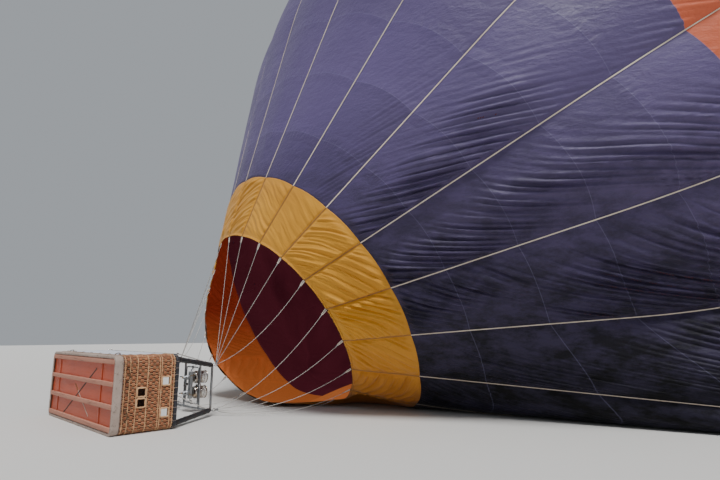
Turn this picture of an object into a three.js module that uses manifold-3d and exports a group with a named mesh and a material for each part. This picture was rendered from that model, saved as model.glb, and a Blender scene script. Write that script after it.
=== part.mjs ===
// Hot air balloon during filling: the basket lies on its long side, the envelope is half raised behind it
// and its low fabric lies flat on the ground. Millimetres, +Z up, +X from the basket's underside to its rim
// and on to the envelope. Places are given from the middle of the basket's underside, on the ground.
import * as THREE from 'three';
import { mergeVertices } from 'three/addons/utils/BufferGeometryUtils.js';
import Module from 'manifold-3d';

const wasm = await Module();
wasm.setup();

const deg = Math.PI / 180;
const touch = 0.4; // gap kept between pieces that rest on each other

// Envelope: cone and dome about a sloping axis that starts at the apex, above the load frame
const apex = { x: 2081, y: -304, z: 1210 };
const axisYaw = -11.7 * deg; // the wind has turned the envelope away from the basket's line
const axisSlope = 28.3 * deg;
const coneHalfAngle = 48.3 * deg;
const coneLength = 8100; // slant length of the straight cone
const domeRadius = 10950; // radius of the dome's curve
const goreCount = 20;
const topTapeAngle = 87.4 * deg; // first load tape, measured from the near side towards the top
const sideStretch = 1.03; // envelope wider than it is high
const mouthLean = 450; // how far the mouth's top edge is pulled back towards the basket
const lipStation = 2980; // distances from the apex along the fabric
const bandSeamStation = 4300;
const ventEdgeStation = 30600;
const crownStation = 33290;
const fabricThickness = 10;
const panelGap = 0.5; // half the gap between neighbouring fabric panels
const billowShare = 0.02; // how far a gore bulges between its tapes, as a share of the local radius
const goreColumns = 3;
const goreRows = 16;
const groundBlend = 300; // height over which sinking fabric settles flat
const spreadHeight = 2800; // below this the slack fabric spreads sideways
const spreadShare = 0.7;
const spreadRise = [3000, 7000]; // distances past the apex over which the spread grows behind the mouth
const spreadFall = [6000, 15000]; // and over which it goes again
const mouthPull = { // the mouth's low and far sides are drawn back towards the basket and a little aside
  back: 1450,
  backRise: [8.7, 10.1], // tapes over which the pull grows, and over which it goes
  backFall: [12.1, 17.9],
  aside: 400,
  asideRise: [9.6, 11.1],
  asideFall: [11.9, 19.8],
  stations: [2950, 5400], // stations over which both go
};

// Vent panel and crown ring
const ventOverlap = 250;
const ventDrop = 45; // vent panel held this far inside the gores
const ventRows = 4;
const crownRingRadius = 330;
const crownRingTube = 20;
const crownTapeWidth = 50;
const crownTapeThickness = 8;
const crownTapeLift = 12;
const crownTapeRows = 3;

// Basket on its side: X runs from the runners to the rim, Y along the basket, Z up
const basket = { length: 3350, width: 1250, cornerRadius: 130 };
const runner = { thickness: 45, width: 75, length: 3240, heights: [97, 445, 800, 1153] };
const floorBoard = { bottom: 45.4, top: 63, inset: 20 };
const baseBand = { bottom: 20, top: 150, thickness: 12 };
const wall = { bottom: 63.4, top: 1030, thickness: 35 };
const rim = { bottom: 1030.4, top: 1100, width: 85, bevel: 16 };
const stepHoles = [ // place above the basket's underside, and across the end
  { x: 460, z: 655 },
  { x: 460, z: 485 },
  { x: 870, z: 815 },
  { x: 870, z: 300 },
];
const stepHoleSize = 130;
const partition = { place: 560, thickness: 30, top: 1000 };
const cylinder = { radius: 150, length: 800, neckRadius: 55, collarRadius: 95, collarLength: 70, offset: 390 };
const banner = { bottom: 190, top: 990, near: -1330, far: 1430, thickness: 6 };

// Burner frame, uprights and burners
const frame = { bottom: 2200, tube: 45, halfLength: 820, low: 75, high: 1025, crossTube: 340 };
const upright = { radius: 45, rimInset: 85, rimLow: 75, rimHigh: 1175 };
const pin = { radius: 12, hole: 13, depth: 22 };
const yoke = { halfLength: 250, halfWidth: 350, tube: 30 };
const burner = { spacing: 155, radius: 130, wall: 5, canBottom: 10, canTop: 290 };
const block = { halfWidth: 300, halfLength: 60, bottom: -150, top: -2 };
const lug = { size: 70, height: 40, link: 40 };

// Flying wires from the frame's corners to the load tapes
const wire = { radius: 4, steps: 6, sides: 6, lipGap: 9, groundClearance: 12 };
const wireSlack = { taut: 0.004, slack: 0.09, slackBelow: 20 * deg }; // sag as a share of the wire's span

const paint = {
  gore: [0x45436a, 0.75, 0],
  band: [0xc8922b, 0.8, 0],
  vent: [0x45436a, 0.75, 0],
  tape: [0xe8d8c8, 0.8, 0],
  wire: [0xb8b8b8, 0.4, 0.8],
  board: [0xc8552e, 0.7, 0],
  timber: [0xb98a74, 0.8, 0],
  rawhide: [0xb4a898, 0.8, 0],
  wicker: [0xc99a62, 0.8, 0],
  padding: [0x2b2b33, 0.7, 0],
  steel: [0xc4c6c8, 0.3, 0.9],
  banner: [0xc9cad2, 0.8, 0],
};

const balloon = new THREE.Group();
const basketGroup = new THREE.Group();
const burnerGroup = new THREE.Group();
const envelopeGroup = new THREE.Group();
balloon.add(basketGroup, burnerGroup, envelopeGroup);

function addPiece(parent, name, geometry, finish) {
  const [color, roughness, metalness] = finish;
  const mesh = new THREE.Mesh(geometry, new THREE.MeshStandardMaterial({ color, roughness, metalness }));
  mesh.name = name;
  parent.add(mesh);
}

// Solids that are cut or joined
function toSolid(geometry) {
  const bare = geometry.clone();
  bare.deleteAttribute('normal');
  bare.deleteAttribute('uv');
  const merged = mergeVertices(bare, 1e-3);
  return new wasm.Manifold(new wasm.Mesh({
    numProp: 3,
    vertProperties: new Float32Array(merged.attributes.position.array),
    triVerts: new Uint32Array(merged.index.array),
  }));
}

function toGeometry(solid) {
  const mesh = solid.getMesh();
  const geometry = new THREE.BufferGeometry();
  geometry.setAttribute('position', new THREE.BufferAttribute(new Float32Array(mesh.vertProperties), 3));
  geometry.setIndex(new THREE.BufferAttribute(new Uint32Array(mesh.triVerts), 1));
  geometry.computeVertexNormals();
  return geometry;
}

function joined(geometries) {
  const [first, ...others] = geometries.map(toSolid);
  return others.reduce((sum, solid) => sum.add(solid), first);
}

function boxBetween(low, high) {
  const size = high.map((value, i) => value - low[i]);
  const middle = high.map((value, i) => (value + low[i]) / 2);
  return new THREE.BoxGeometry(...size).translate(...middle);
}

function rodBetween(start, end, radius, sides) {
  const from = new THREE.Vector3(...start);
  const to = new THREE.Vector3(...end);
  const along = to.clone().sub(from);
  const turn = new THREE.Quaternion().setFromUnitVectors(new THREE.Vector3(0, 1, 0), along.clone().normalize());
  const rod = new THREE.CylinderGeometry(radius, radius, along.length(), sides);
  rod.applyQuaternion(turn);
  return rod.translate(...from.add(to).multiplyScalar(0.5).toArray());
}

// Profile of the envelope: distance along the axis and radius at a station
function profileAt(station) {
  const onCone = Math.min(station, coneLength);
  const turned = coneHalfAngle - (station - onCone) / domeRadius;
  return {
    along: onCone * Math.cos(coneHalfAngle) + domeRadius * (Math.sin(coneHalfAngle) - Math.sin(turned)),
    radius: onCone * Math.sin(coneHalfAngle) + domeRadius * (Math.cos(turned) - Math.cos(coneHalfAngle)),
  };
}

// The envelope's own frame has its axis above +X; it is turned by the yaw about the apex at the end
const slopeDirection = new THREE.Vector3(Math.cos(axisSlope), 0, Math.sin(axisSlope));
const upDirection = new THREE.Vector3(-Math.sin(axisSlope), 0, Math.cos(axisSlope));
const nearDirection = new THREE.Vector3(0, -1, 0);
const vertical = new THREE.Vector3(0, 0, 1);
const axisDirection = slopeDirection.clone().applyAxisAngle(vertical, axisYaw);

function fromEnvelopeFrame(point) {
  return point.applyAxisAngle(vertical, axisYaw).add(new THREE.Vector3(apex.x, apex.y, 0));
}

// A point of the fabric: tape counts load tapes round from the top, 0.5 is the middle of the first gore
function fabricPoint(station, tape, billow = billowShare) {
  const angle = topTapeAngle - (tape * 2 * Math.PI) / goreCount;
  const lean = mouthLean * Math.sin(angle) * (1 - station / crownStation);
  const { along, radius } = profileAt(station - lean);
  const across = tape - Math.floor(tape);
  const bulged = radius * (1 + billow * 4 * across * (1 - across));
  const point = new THREE.Vector3(0, 0, apex.z)
    .addScaledVector(slopeDirection, along)
    .addScaledVector(nearDirection, bulged * sideStretch * Math.cos(angle))
    .addScaledVector(upDirection, bulged * Math.sin(angle));
  return fromEnvelopeFrame(pullMouth(settle(point), station, tape));
}

function pullMouth(point, station, tape) {
  const { back, backRise, backFall, aside, asideRise, asideFall, stations } = mouthPull;
  const { smoothstep } = THREE.MathUtils;
  const share = 1 - smoothstep(station, ...stations);
  point.x -= back * share * smoothstep(tape, ...backRise) * (1 - smoothstep(tape, ...backFall));
  point.y += aside * share * smoothstep(tape, ...asideRise) * (1 - smoothstep(tape, ...asideFall));
  return point;
}

// Fabric that would hang below the ground lies flat on it and spreads sideways
function settle(point) {
  const { z } = point;
  if (z < groundBlend) {
    point.z = z < -groundBlend ? 0 : (z + groundBlend) ** 2 / (4 * groundBlend);
  }
  const lowness = Math.max(0, 1 - point.z / spreadHeight);
  const risen = THREE.MathUtils.smoothstep(point.x, ...spreadRise);
  const gone = THREE.MathUtils.smoothstep(point.x, ...spreadFall);
  point.y *= 1 + spreadShare * risen * (1 - gone) * lowness ** 2;
  return point;
}

function fabricNormal(station, tape) {
  const stepAlong = 20;
  const stepRound = 0.004;
  const along = fabricPoint(station + stepAlong, tape, 0).sub(fabricPoint(station - stepAlong, tape, 0));
  const round = fabricPoint(station, tape + stepRound, 0).sub(fabricPoint(station, tape - stepRound, 0));
  return round.cross(along).normalize();
}

// A closed sheet between two stations and two tapes; a full turn closes on itself and may end in a pole
function fabricSheet({ stations, tapes, outer = 0, thickness = fabricThickness, billow = billowShare }) {
  const isTurn = tapes[tapes.length - 1] - tapes[0] > goreCount - 1e-6;
  const rows = stations.map((station) => tapes.map((tape) => {
    const atPole = station >= crownStation;
    const at = atPole ? 0 : tape;
    const surface = fabricPoint(Math.min(station, crownStation), at, atPole ? 0 : billow);
    const normal = atPole ? axisDirection : fabricNormal(station, at);
    return [outer, outer - thickness].map((offset) => surface.clone().addScaledVector(normal, offset));
  }));
  const corners = [];
  const addTriangle = (a, b, c) => {
    const flat = a.distanceTo(b) < 1e-3 || b.distanceTo(c) < 1e-3 || c.distanceTo(a) < 1e-3;
    if (!flat) corners.push(a, c, b);
  };
  const addQuad = (a, b, c, d) => {
    addTriangle(a, b, c);
    addTriangle(a, c, d);
  };
  const lastRow = rows.length - 1;
  const lastColumn = tapes.length - 1;
  for (let i = 0; i < lastRow; i += 1) {
    for (let j = 0; j < lastColumn; j += 1) {
      addQuad(rows[i][j][0], rows[i + 1][j][0], rows[i + 1][j + 1][0], rows[i][j + 1][0]);
      addQuad(rows[i][j][1], rows[i][j + 1][1], rows[i + 1][j + 1][1], rows[i + 1][j][1]);
    }
    if (!isTurn) {
      addQuad(rows[i][0][1], rows[i + 1][0][1], rows[i + 1][0][0], rows[i][0][0]);
      const [here, next] = [rows[i][lastColumn], rows[i + 1][lastColumn]];
      addQuad(next[0], next[1], here[1], here[0]);
    }
  }
  for (let j = 0; j < lastColumn; j += 1) {
    addQuad(rows[0][j][0], rows[0][j + 1][0], rows[0][j + 1][1], rows[0][j][1]);
    if (stations[lastRow] < crownStation) {
      const [here, next] = [rows[lastRow][j], rows[lastRow][j + 1]];
      addQuad(here[0], here[1], next[1], next[0]);
    }
  }
  const geometry = new THREE.BufferGeometry().setFromPoints(corners);
  return mergeVertices(geometry, 1e-3);
}

function spaced(start, end, count) {
  return Array.from({ length: count + 1 }, (_, i) => start + ((end - start) * i) / count);
}

function tapesBetween(first, last, columns) {
  const station = (bandSeamStation + ventEdgeStation) / 2;
  const inset = (panelGap * goreCount) / (2 * Math.PI * profileAt(station).radius);
  const tapes = spaced(first, last, columns);
  tapes[0] += inset * 2;
  tapes[columns] -= inset * 2;
  return tapes;
}

// Gores, each one strip of fabric from the mouth band's seam to the vent's edge
for (let i = 0; i < goreCount; i += 1) {
  addPiece(envelopeGroup, `gore_${String(i + 1).padStart(2, '0')}`, fabricSheet({
    stations: spaced(bandSeamStation + panelGap, ventEdgeStation, goreRows),
    tapes: tapesBetween(i, i + 1, goreColumns),
  }), paint.gore);
}

// Heat-resistant band round the mouth, in quarters
const bandQuarters = 4;
const bandGores = goreCount / bandQuarters;
for (let i = 0; i < bandQuarters; i += 1) {
  addPiece(envelopeGroup, `mouth_band_${i + 1}`, fabricSheet({
    stations: spaced(lipStation, bandSeamStation - panelGap, 2),
    tapes: tapesBetween(i * bandGores, (i + 1) * bandGores, bandGores * goreColumns),
  }), paint.band);
}

// Vent panel that closes the crown from inside
addPiece(envelopeGroup, 'vent_panel', fabricSheet({
  stations: spaced(ventEdgeStation - ventOverlap, crownStation, ventRows),
  tapes: spaced(0, goreCount, goreCount),
  outer: -ventDrop,
  billow: 0,
}), paint.vent);

// Crown ring with the load tapes that cross the vent to it
function crownRing() {
  const ring = new THREE.TorusGeometry(crownRingRadius, crownRingTube, 6, goreCount);
  const facing = new THREE.Quaternion().setFromUnitVectors(new THREE.Vector3(0, 0, 1), axisDirection);
  const centre = fromEnvelopeFrame(new THREE.Vector3(0, 0, apex.z)
    .addScaledVector(slopeDirection, profileAt(crownStation - crownRingRadius).along + crownTapeLift));
  ring.applyQuaternion(facing).translate(...centre.toArray());
  const strips = spaced(0, goreCount - 1, goreCount - 1).map((tape) => crownTape(tape));
  return toGeometry(joined([ring, ...strips]));
}

function crownTape(tape) {
  const stations = spaced(ventEdgeStation - ventOverlap, crownStation - crownRingRadius, crownTapeRows);
  const corners = [];
  for (const station of stations) {
    const middle = fabricPoint(station, tape);
    const normal = fabricNormal(station, tape);
    const ahead = fabricPoint(station + 20, tape).sub(middle).normalize();
    const side = normal.clone().cross(ahead).multiplyScalar(crownTapeWidth / 2);
    corners.push([
      middle.clone().addScaledVector(normal, crownTapeLift).add(side),
      middle.clone().addScaledVector(normal, crownTapeLift).sub(side),
      middle.clone().addScaledVector(normal, crownTapeLift + crownTapeThickness).sub(side),
      middle.clone().addScaledVector(normal, crownTapeLift + crownTapeThickness).add(side),
    ]);
  }
  const points = [];
  for (let i = 0; i < crownTapeRows; i += 1) {
    for (let j = 0; j < 4; j += 1) {
      const k = (j + 1) % 4;
      const [a, b, c, d] = [corners[i][j], corners[i][k], corners[i + 1][k], corners[i + 1][j]];
      points.push(a, c, b, a, d, c);
    }
  }
  const [first, last] = [corners[0], corners[crownTapeRows]];
  points.push(first[0], first[1], first[2], first[0], first[2], first[3]);
  points.push(last[0], last[2], last[1], last[0], last[3], last[2]);
  return new THREE.BufferGeometry().setFromPoints(points);
}

addPiece(envelopeGroup, 'crown_ring', crownRing(), paint.tape);

// Basket outlines, drawn across the basket and raised along X
function roundedOutline(inset, Kind = THREE.Shape) {
  const halfLength = basket.length / 2 - inset;
  const halfWidth = basket.width / 2 - inset;
  const radius = basket.cornerRadius - inset;
  const outline = new Kind();
  outline.absarc(halfLength - radius, halfWidth - radius, radius, 0, Math.PI / 2, false);
  outline.absarc(radius - halfLength, halfWidth - radius, radius, Math.PI / 2, Math.PI, false);
  outline.absarc(radius - halfLength, radius - halfWidth, radius, Math.PI, 1.5 * Math.PI, false);
  outline.absarc(halfLength - radius, radius - halfWidth, radius, 1.5 * Math.PI, 2 * Math.PI, false);
  outline.closePath();
  return outline;
}

// Turns a shape drawn in (length, width) so that it is raised along X, with its centre at half the width
function raised(geometry, bottom) {
  const turn = new THREE.Matrix4().makeBasis(
    new THREE.Vector3(0, 1, 0),
    new THREE.Vector3(0, 0, 1),
    new THREE.Vector3(1, 0, 0),
  );
  return geometry.applyMatrix4(turn).translate(bottom, 0, basket.width / 2);
}

function ringAround({ bottom, top, outerInset, thickness, bevel = 0 }) {
  const shape = roundedOutline(outerInset + bevel);
  shape.holes.push(roundedOutline(outerInset + thickness - bevel, THREE.Path));
  const ring = new THREE.ExtrudeGeometry(shape, {
    depth: top - bottom - 2 * bevel,
    curveSegments: 4,
    bevelEnabled: bevel > 0,
    bevelSize: bevel,
    bevelThickness: bevel,
    bevelSegments: 1,
  });
  return raised(ring, bottom + bevel);
}

runner.heights.forEach((height, i) => {
  const low = [0, -runner.length / 2, height - runner.width / 2];
  const high = [runner.thickness, runner.length / 2, height + runner.width / 2];
  addPiece(basketGroup, `runner_${i + 1}`, boxBetween(low, high), paint.timber);
});

const wickerInset = baseBand.thickness + touch;

addPiece(basketGroup, 'floor_board', raised(new THREE.ExtrudeGeometry(roundedOutline(floorBoard.inset), {
  depth: floorBoard.top - floorBoard.bottom,
  curveSegments: 4,
  bevelEnabled: false,
}), floorBoard.bottom), paint.board);

addPiece(basketGroup, 'base_band', ringAround({
  bottom: baseBand.bottom,
  top: baseBand.top,
  outerInset: 0,
  thickness: baseBand.thickness,
}), paint.rawhide);

// The wicker ring is split where the end panels' rounded corners meet the long sides
const wickerRing = toSolid(ringAround({
  bottom: wall.bottom,
  top: wall.top,
  outerInset: wickerInset,
  thickness: wall.thickness,
}));
const splitPlace = basket.length / 2 - basket.cornerRadius;
const beyond = 2 * basket.length;

function wickerPart(low, high, cuts = []) {
  const cutter = toSolid(boxBetween([-beyond, low[0], low[1]], [beyond, high[0], high[1]]));
  return toGeometry(cuts.reduce((solid, cut) => solid.subtract(toSolid(cut)), wickerRing.intersect(cutter)));
}

const holeCuts = [-1, 1].map((side) => stepHoles.map(({ x, z }) => {
  const half = stepHoleSize / 2;
  const outside = side * basket.length;
  const inside = side * (basket.length / 2 - basket.cornerRadius);
  return boxBetween(
    [x - half, Math.min(outside, inside), z - half],
    [x + half, Math.max(outside, inside), z + half],
  );
}));
const middleWidth = basket.width / 2;
addPiece(basketGroup, 'wicker_end_near', wickerPart([-beyond, -beyond], [-splitPlace, beyond], holeCuts[0]),
  paint.wicker);
addPiece(basketGroup, 'wicker_end_far', wickerPart([splitPlace, -beyond], [beyond, beyond], holeCuts[1]),
  paint.wicker);
addPiece(basketGroup, 'wicker_side_lower',
  wickerPart([touch - splitPlace, -beyond], [splitPlace - touch, middleWidth]), paint.wicker);
addPiece(basketGroup, 'wicker_side_upper',
  wickerPart([touch - splitPlace, middleWidth], [splitPlace - touch, beyond]), paint.wicker);

const innerLow = wickerInset + wall.thickness + touch;
const innerHigh = basket.width - innerLow;
[-1, 1].forEach((side, i) => {
  const centre = side * partition.place;
  addPiece(basketGroup, `partition_${i + 1}`, boxBetween(
    [floorBoard.top + touch, centre - partition.thickness / 2, innerLow],
    [partition.top, centre + partition.thickness / 2, innerHigh],
  ), paint.wicker);
});

addPiece(basketGroup, 'rim_bolster', ringAround({
  bottom: rim.bottom,
  top: rim.top,
  outerInset: 0,
  thickness: rim.width,
  bevel: rim.bevel,
}), paint.padding);

addPiece(basketGroup, 'side_banner', boxBetween(
  [banner.bottom, banner.near, basket.width - wickerInset + touch],
  [banner.top, banner.far, basket.width - wickerInset + touch + banner.thickness],
), paint.banner);

// Fuel cylinders stand on the floor board in the pilot's compartment, against the long sides
function fuelCylinder() {
  const { radius, length, neckRadius, collarRadius, collarLength } = cylinder;
  const shoulder = radius / 2;
  const profile = [
    [0, 0],
    [radius * 0.8, 0],
    [radius, shoulder * 0.6],
    [radius, length - shoulder],
    [collarRadius, length - shoulder * 0.3],
    [collarRadius, length + collarLength],
    [neckRadius, length + collarLength],
    [neckRadius, length],
    [0, length],
  ].map(([r, h]) => new THREE.Vector2(r, h));
  return new THREE.LatheGeometry(profile, 14).rotateZ(-Math.PI / 2);
}

[[-1, 0], [-1, 1], [1, 0], [1, 1]].forEach(([side, upper], i) => {
  const height = upper ? innerHigh - cylinder.radius : innerLow + cylinder.radius;
  const place = [floorBoard.top + touch, side * cylinder.offset, height];
  addPiece(basketGroup, `fuel_cylinder_${i + 1}`, fuelCylinder().translate(...place), paint.steel);
});

// Load frame with two cross tubes that carry the gimbal
const frameMiddle = (frame.low + frame.high) / 2;
const frameTop = frame.bottom + frame.tube;
const hingePlace = frame.bottom + frame.tube / 2;

function loadFrame() {
  const { bottom, tube, halfLength, low, high, crossTube } = frame;
  const bars = [
    boxBetween([bottom, -halfLength, low], [frameTop, halfLength, low + tube]),
    boxBetween([bottom, -halfLength, high - tube], [frameTop, halfLength, high]),
  ];
  for (const place of [-halfLength, -crossTube, crossTube - tube, halfLength - tube]) {
    bars.push(boxBetween([bottom, place, low + 1], [frameTop, place + tube, high - 1]));
  }
  for (const side of [-1, 1]) {
    for (const height of [low, high - lug.size]) {
      const edge = side * (halfLength - lug.size / 2);
      bars.push(boxBetween(
        [bottom, edge - lug.size / 2, height],
        [frameTop + lug.height, edge + lug.size / 2, height + lug.size],
      ));
    }
  }
  const holes = [-1, 1].map((side) => rodBetween(
    [hingePlace, side * (crossTube - tube - 5), frameMiddle],
    [hingePlace, side * (crossTube - tube + pin.depth + 1), frameMiddle],
    pin.hole,
    16,
  ));
  return toGeometry(holes.reduce((solid, hole) => solid.subtract(toSolid(hole)), joined(bars)));
}
addPiece(burnerGroup, 'load_frame', loadFrame(), paint.steel);

// Padded uprights from the rim's corners to the load frame's corners
[[-1, 0], [-1, 1], [1, 0], [1, 1]].forEach(([side, upper], i) => {
  const foot = [
    rim.top - 60,
    side * (basket.length / 2 - upright.rimInset),
    upper ? upright.rimHigh : upright.rimLow,
  ];
  const head = [
    frame.bottom + 60,
    side * (frame.halfLength - upright.radius),
    upper ? frame.high - upright.radius : frame.low + upright.radius,
  ];
  const between = boxBetween(
    [rim.top + touch, -beyond, -beyond],
    [frame.bottom - touch, beyond, beyond],
  );
  const rod = toSolid(rodBetween(foot, head, upright.radius, 10));
  addPiece(burnerGroup, `upright_${i + 1}`, toGeometry(rod.intersect(toSolid(between))), paint.padding);
});

// Gimbal yoke: pins along Y turn in the frame's cross tubes
function gimbalYoke() {
  const { halfLength, halfWidth, tube } = yoke;
  const outer = boxBetween(
    [hingePlace - tube / 2, -halfLength - tube, frameMiddle - halfWidth - tube],
    [hingePlace + tube / 2, halfLength + tube, frameMiddle + halfWidth + tube],
  );
  const inner = boxBetween(
    [hingePlace - tube, -halfLength, frameMiddle - halfWidth],
    [hingePlace + tube, halfLength, frameMiddle + halfWidth],
  );
  const pins = [-1, 1].map((side) => rodBetween(
    [hingePlace, side * (halfLength + tube / 2), frameMiddle],
    [hingePlace, side * (frame.crossTube - frame.tube + pin.depth - 3), frameMiddle],
    pin.radius,
    16,
  ));
  const sockets = [-1, 1].map((side) => rodBetween(
    [hingePlace, 0, frameMiddle + side * (halfWidth - 5)],
    [hingePlace, 0, frameMiddle + side * (halfWidth + pin.depth + 1)],
    pin.hole,
    16,
  ));
  const ring = toSolid(outer).subtract(toSolid(inner));
  const pinned = pins.reduce((solid, part) => solid.add(toSolid(part)), ring);
  return toGeometry(sockets.reduce((solid, part) => solid.subtract(toSolid(part)), pinned));
}
addPiece(burnerGroup, 'gimbal_yoke', gimbalYoke(), paint.steel);

// Burner block: valve block with pins along Z that turn in the yoke, and two open cans on it
function burnerBlock() {
  const { halfWidth, halfLength, bottom, top } = block;
  const body = boxBetween(
    [hingePlace + bottom + 60, -halfLength, frameMiddle - halfWidth + 20],
    [hingePlace + top, halfLength, frameMiddle + halfWidth - 20],
  );
  const valves = [-1, 1].map((side) => rodBetween(
    [hingePlace + bottom - 60, 0, frameMiddle + side * burner.spacing],
    [hingePlace + bottom + 80, 0, frameMiddle + side * burner.spacing],
    45,
    12,
  ));
  const arms = [-1, 1].map((side) => boxBetween(
    [hingePlace - 40, -25, frameMiddle + side * halfWidth - 25],
    [hingePlace + 25, 25, frameMiddle + side * halfWidth + 25],
  ));
  const pins = [-1, 1].map((side) => rodBetween(
    [hingePlace, 0, frameMiddle + side * halfWidth],
    [hingePlace, 0, frameMiddle + side * (yoke.halfWidth + pin.depth - 3)],
    pin.radius,
    16,
  ));
  return toGeometry(joined([body, ...valves, ...arms, ...pins]));
}
addPiece(burnerGroup, 'burner_block', burnerBlock(), paint.steel);

function burnerCan() {
  const { radius, wall: thickness, canBottom, canTop } = burner;
  const profile = [
    [0, canBottom],
    [radius * 0.7, canBottom],
    [radius, canBottom + 50],
    [radius, canTop],
    [radius - thickness, canTop],
    [radius - thickness, canBottom + 55],
    [radius * 0.66, canBottom + thickness],
    [0, canBottom + thickness],
  ].map(([r, h]) => new THREE.Vector2(r, h));
  return new THREE.LatheGeometry(profile, 18).rotateZ(-Math.PI / 2);
}
[-1, 1].forEach((side, i) => {
  const can = burnerCan().translate(hingePlace, 0, frameMiddle + side * burner.spacing);
  addPiece(burnerGroup, `burner_can_${i + 1}`, can, paint.steel);
});

// Flying wires: each corner lug carries the wires of a quarter of the tapes
const wireSection = new THREE.Shape(spaced(0, wire.sides - 1, wire.sides - 1).map((i) => {
  const angle = (i * 2 * Math.PI) / wire.sides;
  return new THREE.Vector2(wire.radius * Math.cos(angle), wire.radius * Math.sin(angle));
}));

function wireTo(corner, tape) {
  const lip = fabricPoint(lipStation, tape);
  const ahead = fabricPoint(lipStation + 20, tape).sub(lip).normalize();
  const end = lip.clone().addScaledVector(ahead, -wire.lipGap)
    .addScaledVector(fabricNormal(lipStation, tape), -fabricThickness / 2);
  const angle = topTapeAngle - (tape * 2 * Math.PI) / goreCount;
  const isSlack = Math.sin(angle) < Math.sin(wireSlack.slackBelow);
  const sag = (isSlack ? wireSlack.slack : wireSlack.taut) * corner.distanceTo(end);
  const points = spaced(0, 1, wire.steps).map((t) => {
    const point = corner.clone().lerp(end, t);
    point.z = Math.max(point.z - sag * 4 * t * (1 - t), Math.min(point.z, wire.groundClearance));
    return point;
  });
  return new THREE.ExtrudeGeometry(wireSection, {
    steps: wire.steps,
    extrudePath: new THREE.CatmullRomCurve3(points),
  });
}

const lugRows = [ // side along Y, height and first tape of each corner's quarter
  { side: -1, height: frame.high - lug.size / 2, firstTape: 0 },
  { side: -1, height: frame.low + lug.size / 2, firstTape: 5 },
  { side: 1, height: frame.low + lug.size / 2, firstTape: 10 },
  { side: 1, height: frame.high - lug.size / 2, firstTape: 15 },
];
lugRows.forEach(({ side, height, firstTape }, i) => {
  const corner = new THREE.Vector3(
    frameTop + lug.height + touch + lug.link / 2,
    side * (frame.halfLength - lug.size / 2),
    height,
  );
  const link = new THREE.BoxGeometry(lug.link, lug.link, lug.link).translate(...corner.toArray());
  const wires = spaced(firstTape, firstTape + bandGores - 1, bandGores - 1).map((tape) => wireTo(corner, tape));
  addPiece(envelopeGroup, `flying_wires_${i + 1}`, toGeometry(joined([link, ...wires])), paint.wire);
});

// The origin is on the ground, under the middle of the whole balloon's box
balloon.updateMatrixWorld(true);
const bounds = new THREE.Box3().setFromObject(balloon, true);
const middle = bounds.getCenter(new THREE.Vector3());
balloon.position.set(-middle.x, -middle.y, 0);
balloon.updateMatrixWorld(true);

export default balloon;
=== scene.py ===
# Hot air balloon being filled: cloth, tapes, wicker, padding and fittings round the fixed frame
import math

import bmesh
import bpy
from mathutils import Matrix, Vector, noise


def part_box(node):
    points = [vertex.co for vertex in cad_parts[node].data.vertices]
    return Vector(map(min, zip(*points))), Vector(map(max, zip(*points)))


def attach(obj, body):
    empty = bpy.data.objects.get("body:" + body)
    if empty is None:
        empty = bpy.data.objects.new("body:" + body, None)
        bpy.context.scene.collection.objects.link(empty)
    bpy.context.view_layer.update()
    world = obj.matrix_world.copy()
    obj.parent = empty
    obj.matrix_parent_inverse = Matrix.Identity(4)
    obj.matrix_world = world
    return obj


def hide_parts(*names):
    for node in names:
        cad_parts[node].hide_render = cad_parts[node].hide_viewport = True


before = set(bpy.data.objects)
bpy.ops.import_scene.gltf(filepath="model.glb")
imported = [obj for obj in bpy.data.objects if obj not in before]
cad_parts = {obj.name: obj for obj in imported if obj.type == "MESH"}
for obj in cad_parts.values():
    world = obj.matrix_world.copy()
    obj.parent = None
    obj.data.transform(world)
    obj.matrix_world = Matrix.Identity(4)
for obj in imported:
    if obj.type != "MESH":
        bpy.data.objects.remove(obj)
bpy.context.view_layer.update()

# Places are measured from the middle of the basket's underside, on the ground, as the part's own are
runnerLow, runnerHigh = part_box("runner_1")
basketOrigin = Vector((runnerLow.x, (runnerLow.y + runnerHigh.y) / 2, 0))
fullTurn = 2 * math.pi


# Camera, at the photograph's place and angle
camera = {
    "place": (-15.342, -7.765, 1.6),
    "heading": 45,  # degrees from +X
    "climb": 10.25,
    "lens": 26,
    "sensor": 36,
    "farthest": 500,
}


def placeCamera():
    lens = bpy.data.cameras.new("camera")
    lens.lens = camera["lens"]
    lens.sensor_width = camera["sensor"]
    lens.clip_end = camera["farthest"]
    viewer = bpy.data.objects.new("camera", lens)
    viewer.location = camera["place"]
    heading, climb = math.radians(camera["heading"]), math.radians(camera["climb"])
    viewer.rotation_euler = (math.pi / 2 + climb, 0, heading - math.pi / 2)
    bpy.context.collection.objects.link(viewer)
    bpy.context.scene.camera = viewer


placeCamera()
print("camera placed")


# Materials
def toLinear(hexColour):
    channels = [int(hexColour[i:i + 2], 16) / 255 for i in (1, 3, 5)]
    return (*[c / 12.92 if c < 0.04045 else ((c + 0.055) / 1.055) ** 2.4 for c in channels], 1)


def addNode(tree, kind, inputs, output=0, **settings):
    node = tree.nodes.new("ShaderNode" + kind)
    for key, value in settings.items():
        setattr(node, key, value)
    for socket, value in inputs.items():
        if isinstance(value, bpy.types.NodeSocket):
            tree.links.new(value, node.inputs[socket])
        else:
            node.inputs[socket].default_value = toLinear(value) if isinstance(value, str) else value
    return node.outputs[output]


def newMaterial(name, **sockets):
    material = bpy.data.materials.new(name)
    material.use_nodes = True
    for socket, value in sockets.items():
        material.node_tree.nodes["Principled BSDF"].inputs[socket.replace("_", " ")].default_value = value
    return material, material.node_tree


def linkShader(tree, **sockets):
    for socket, output in sockets.items():
        tree.links.new(output, tree.nodes["Principled BSDF"].inputs[socket.replace("_", " ")])


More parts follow.
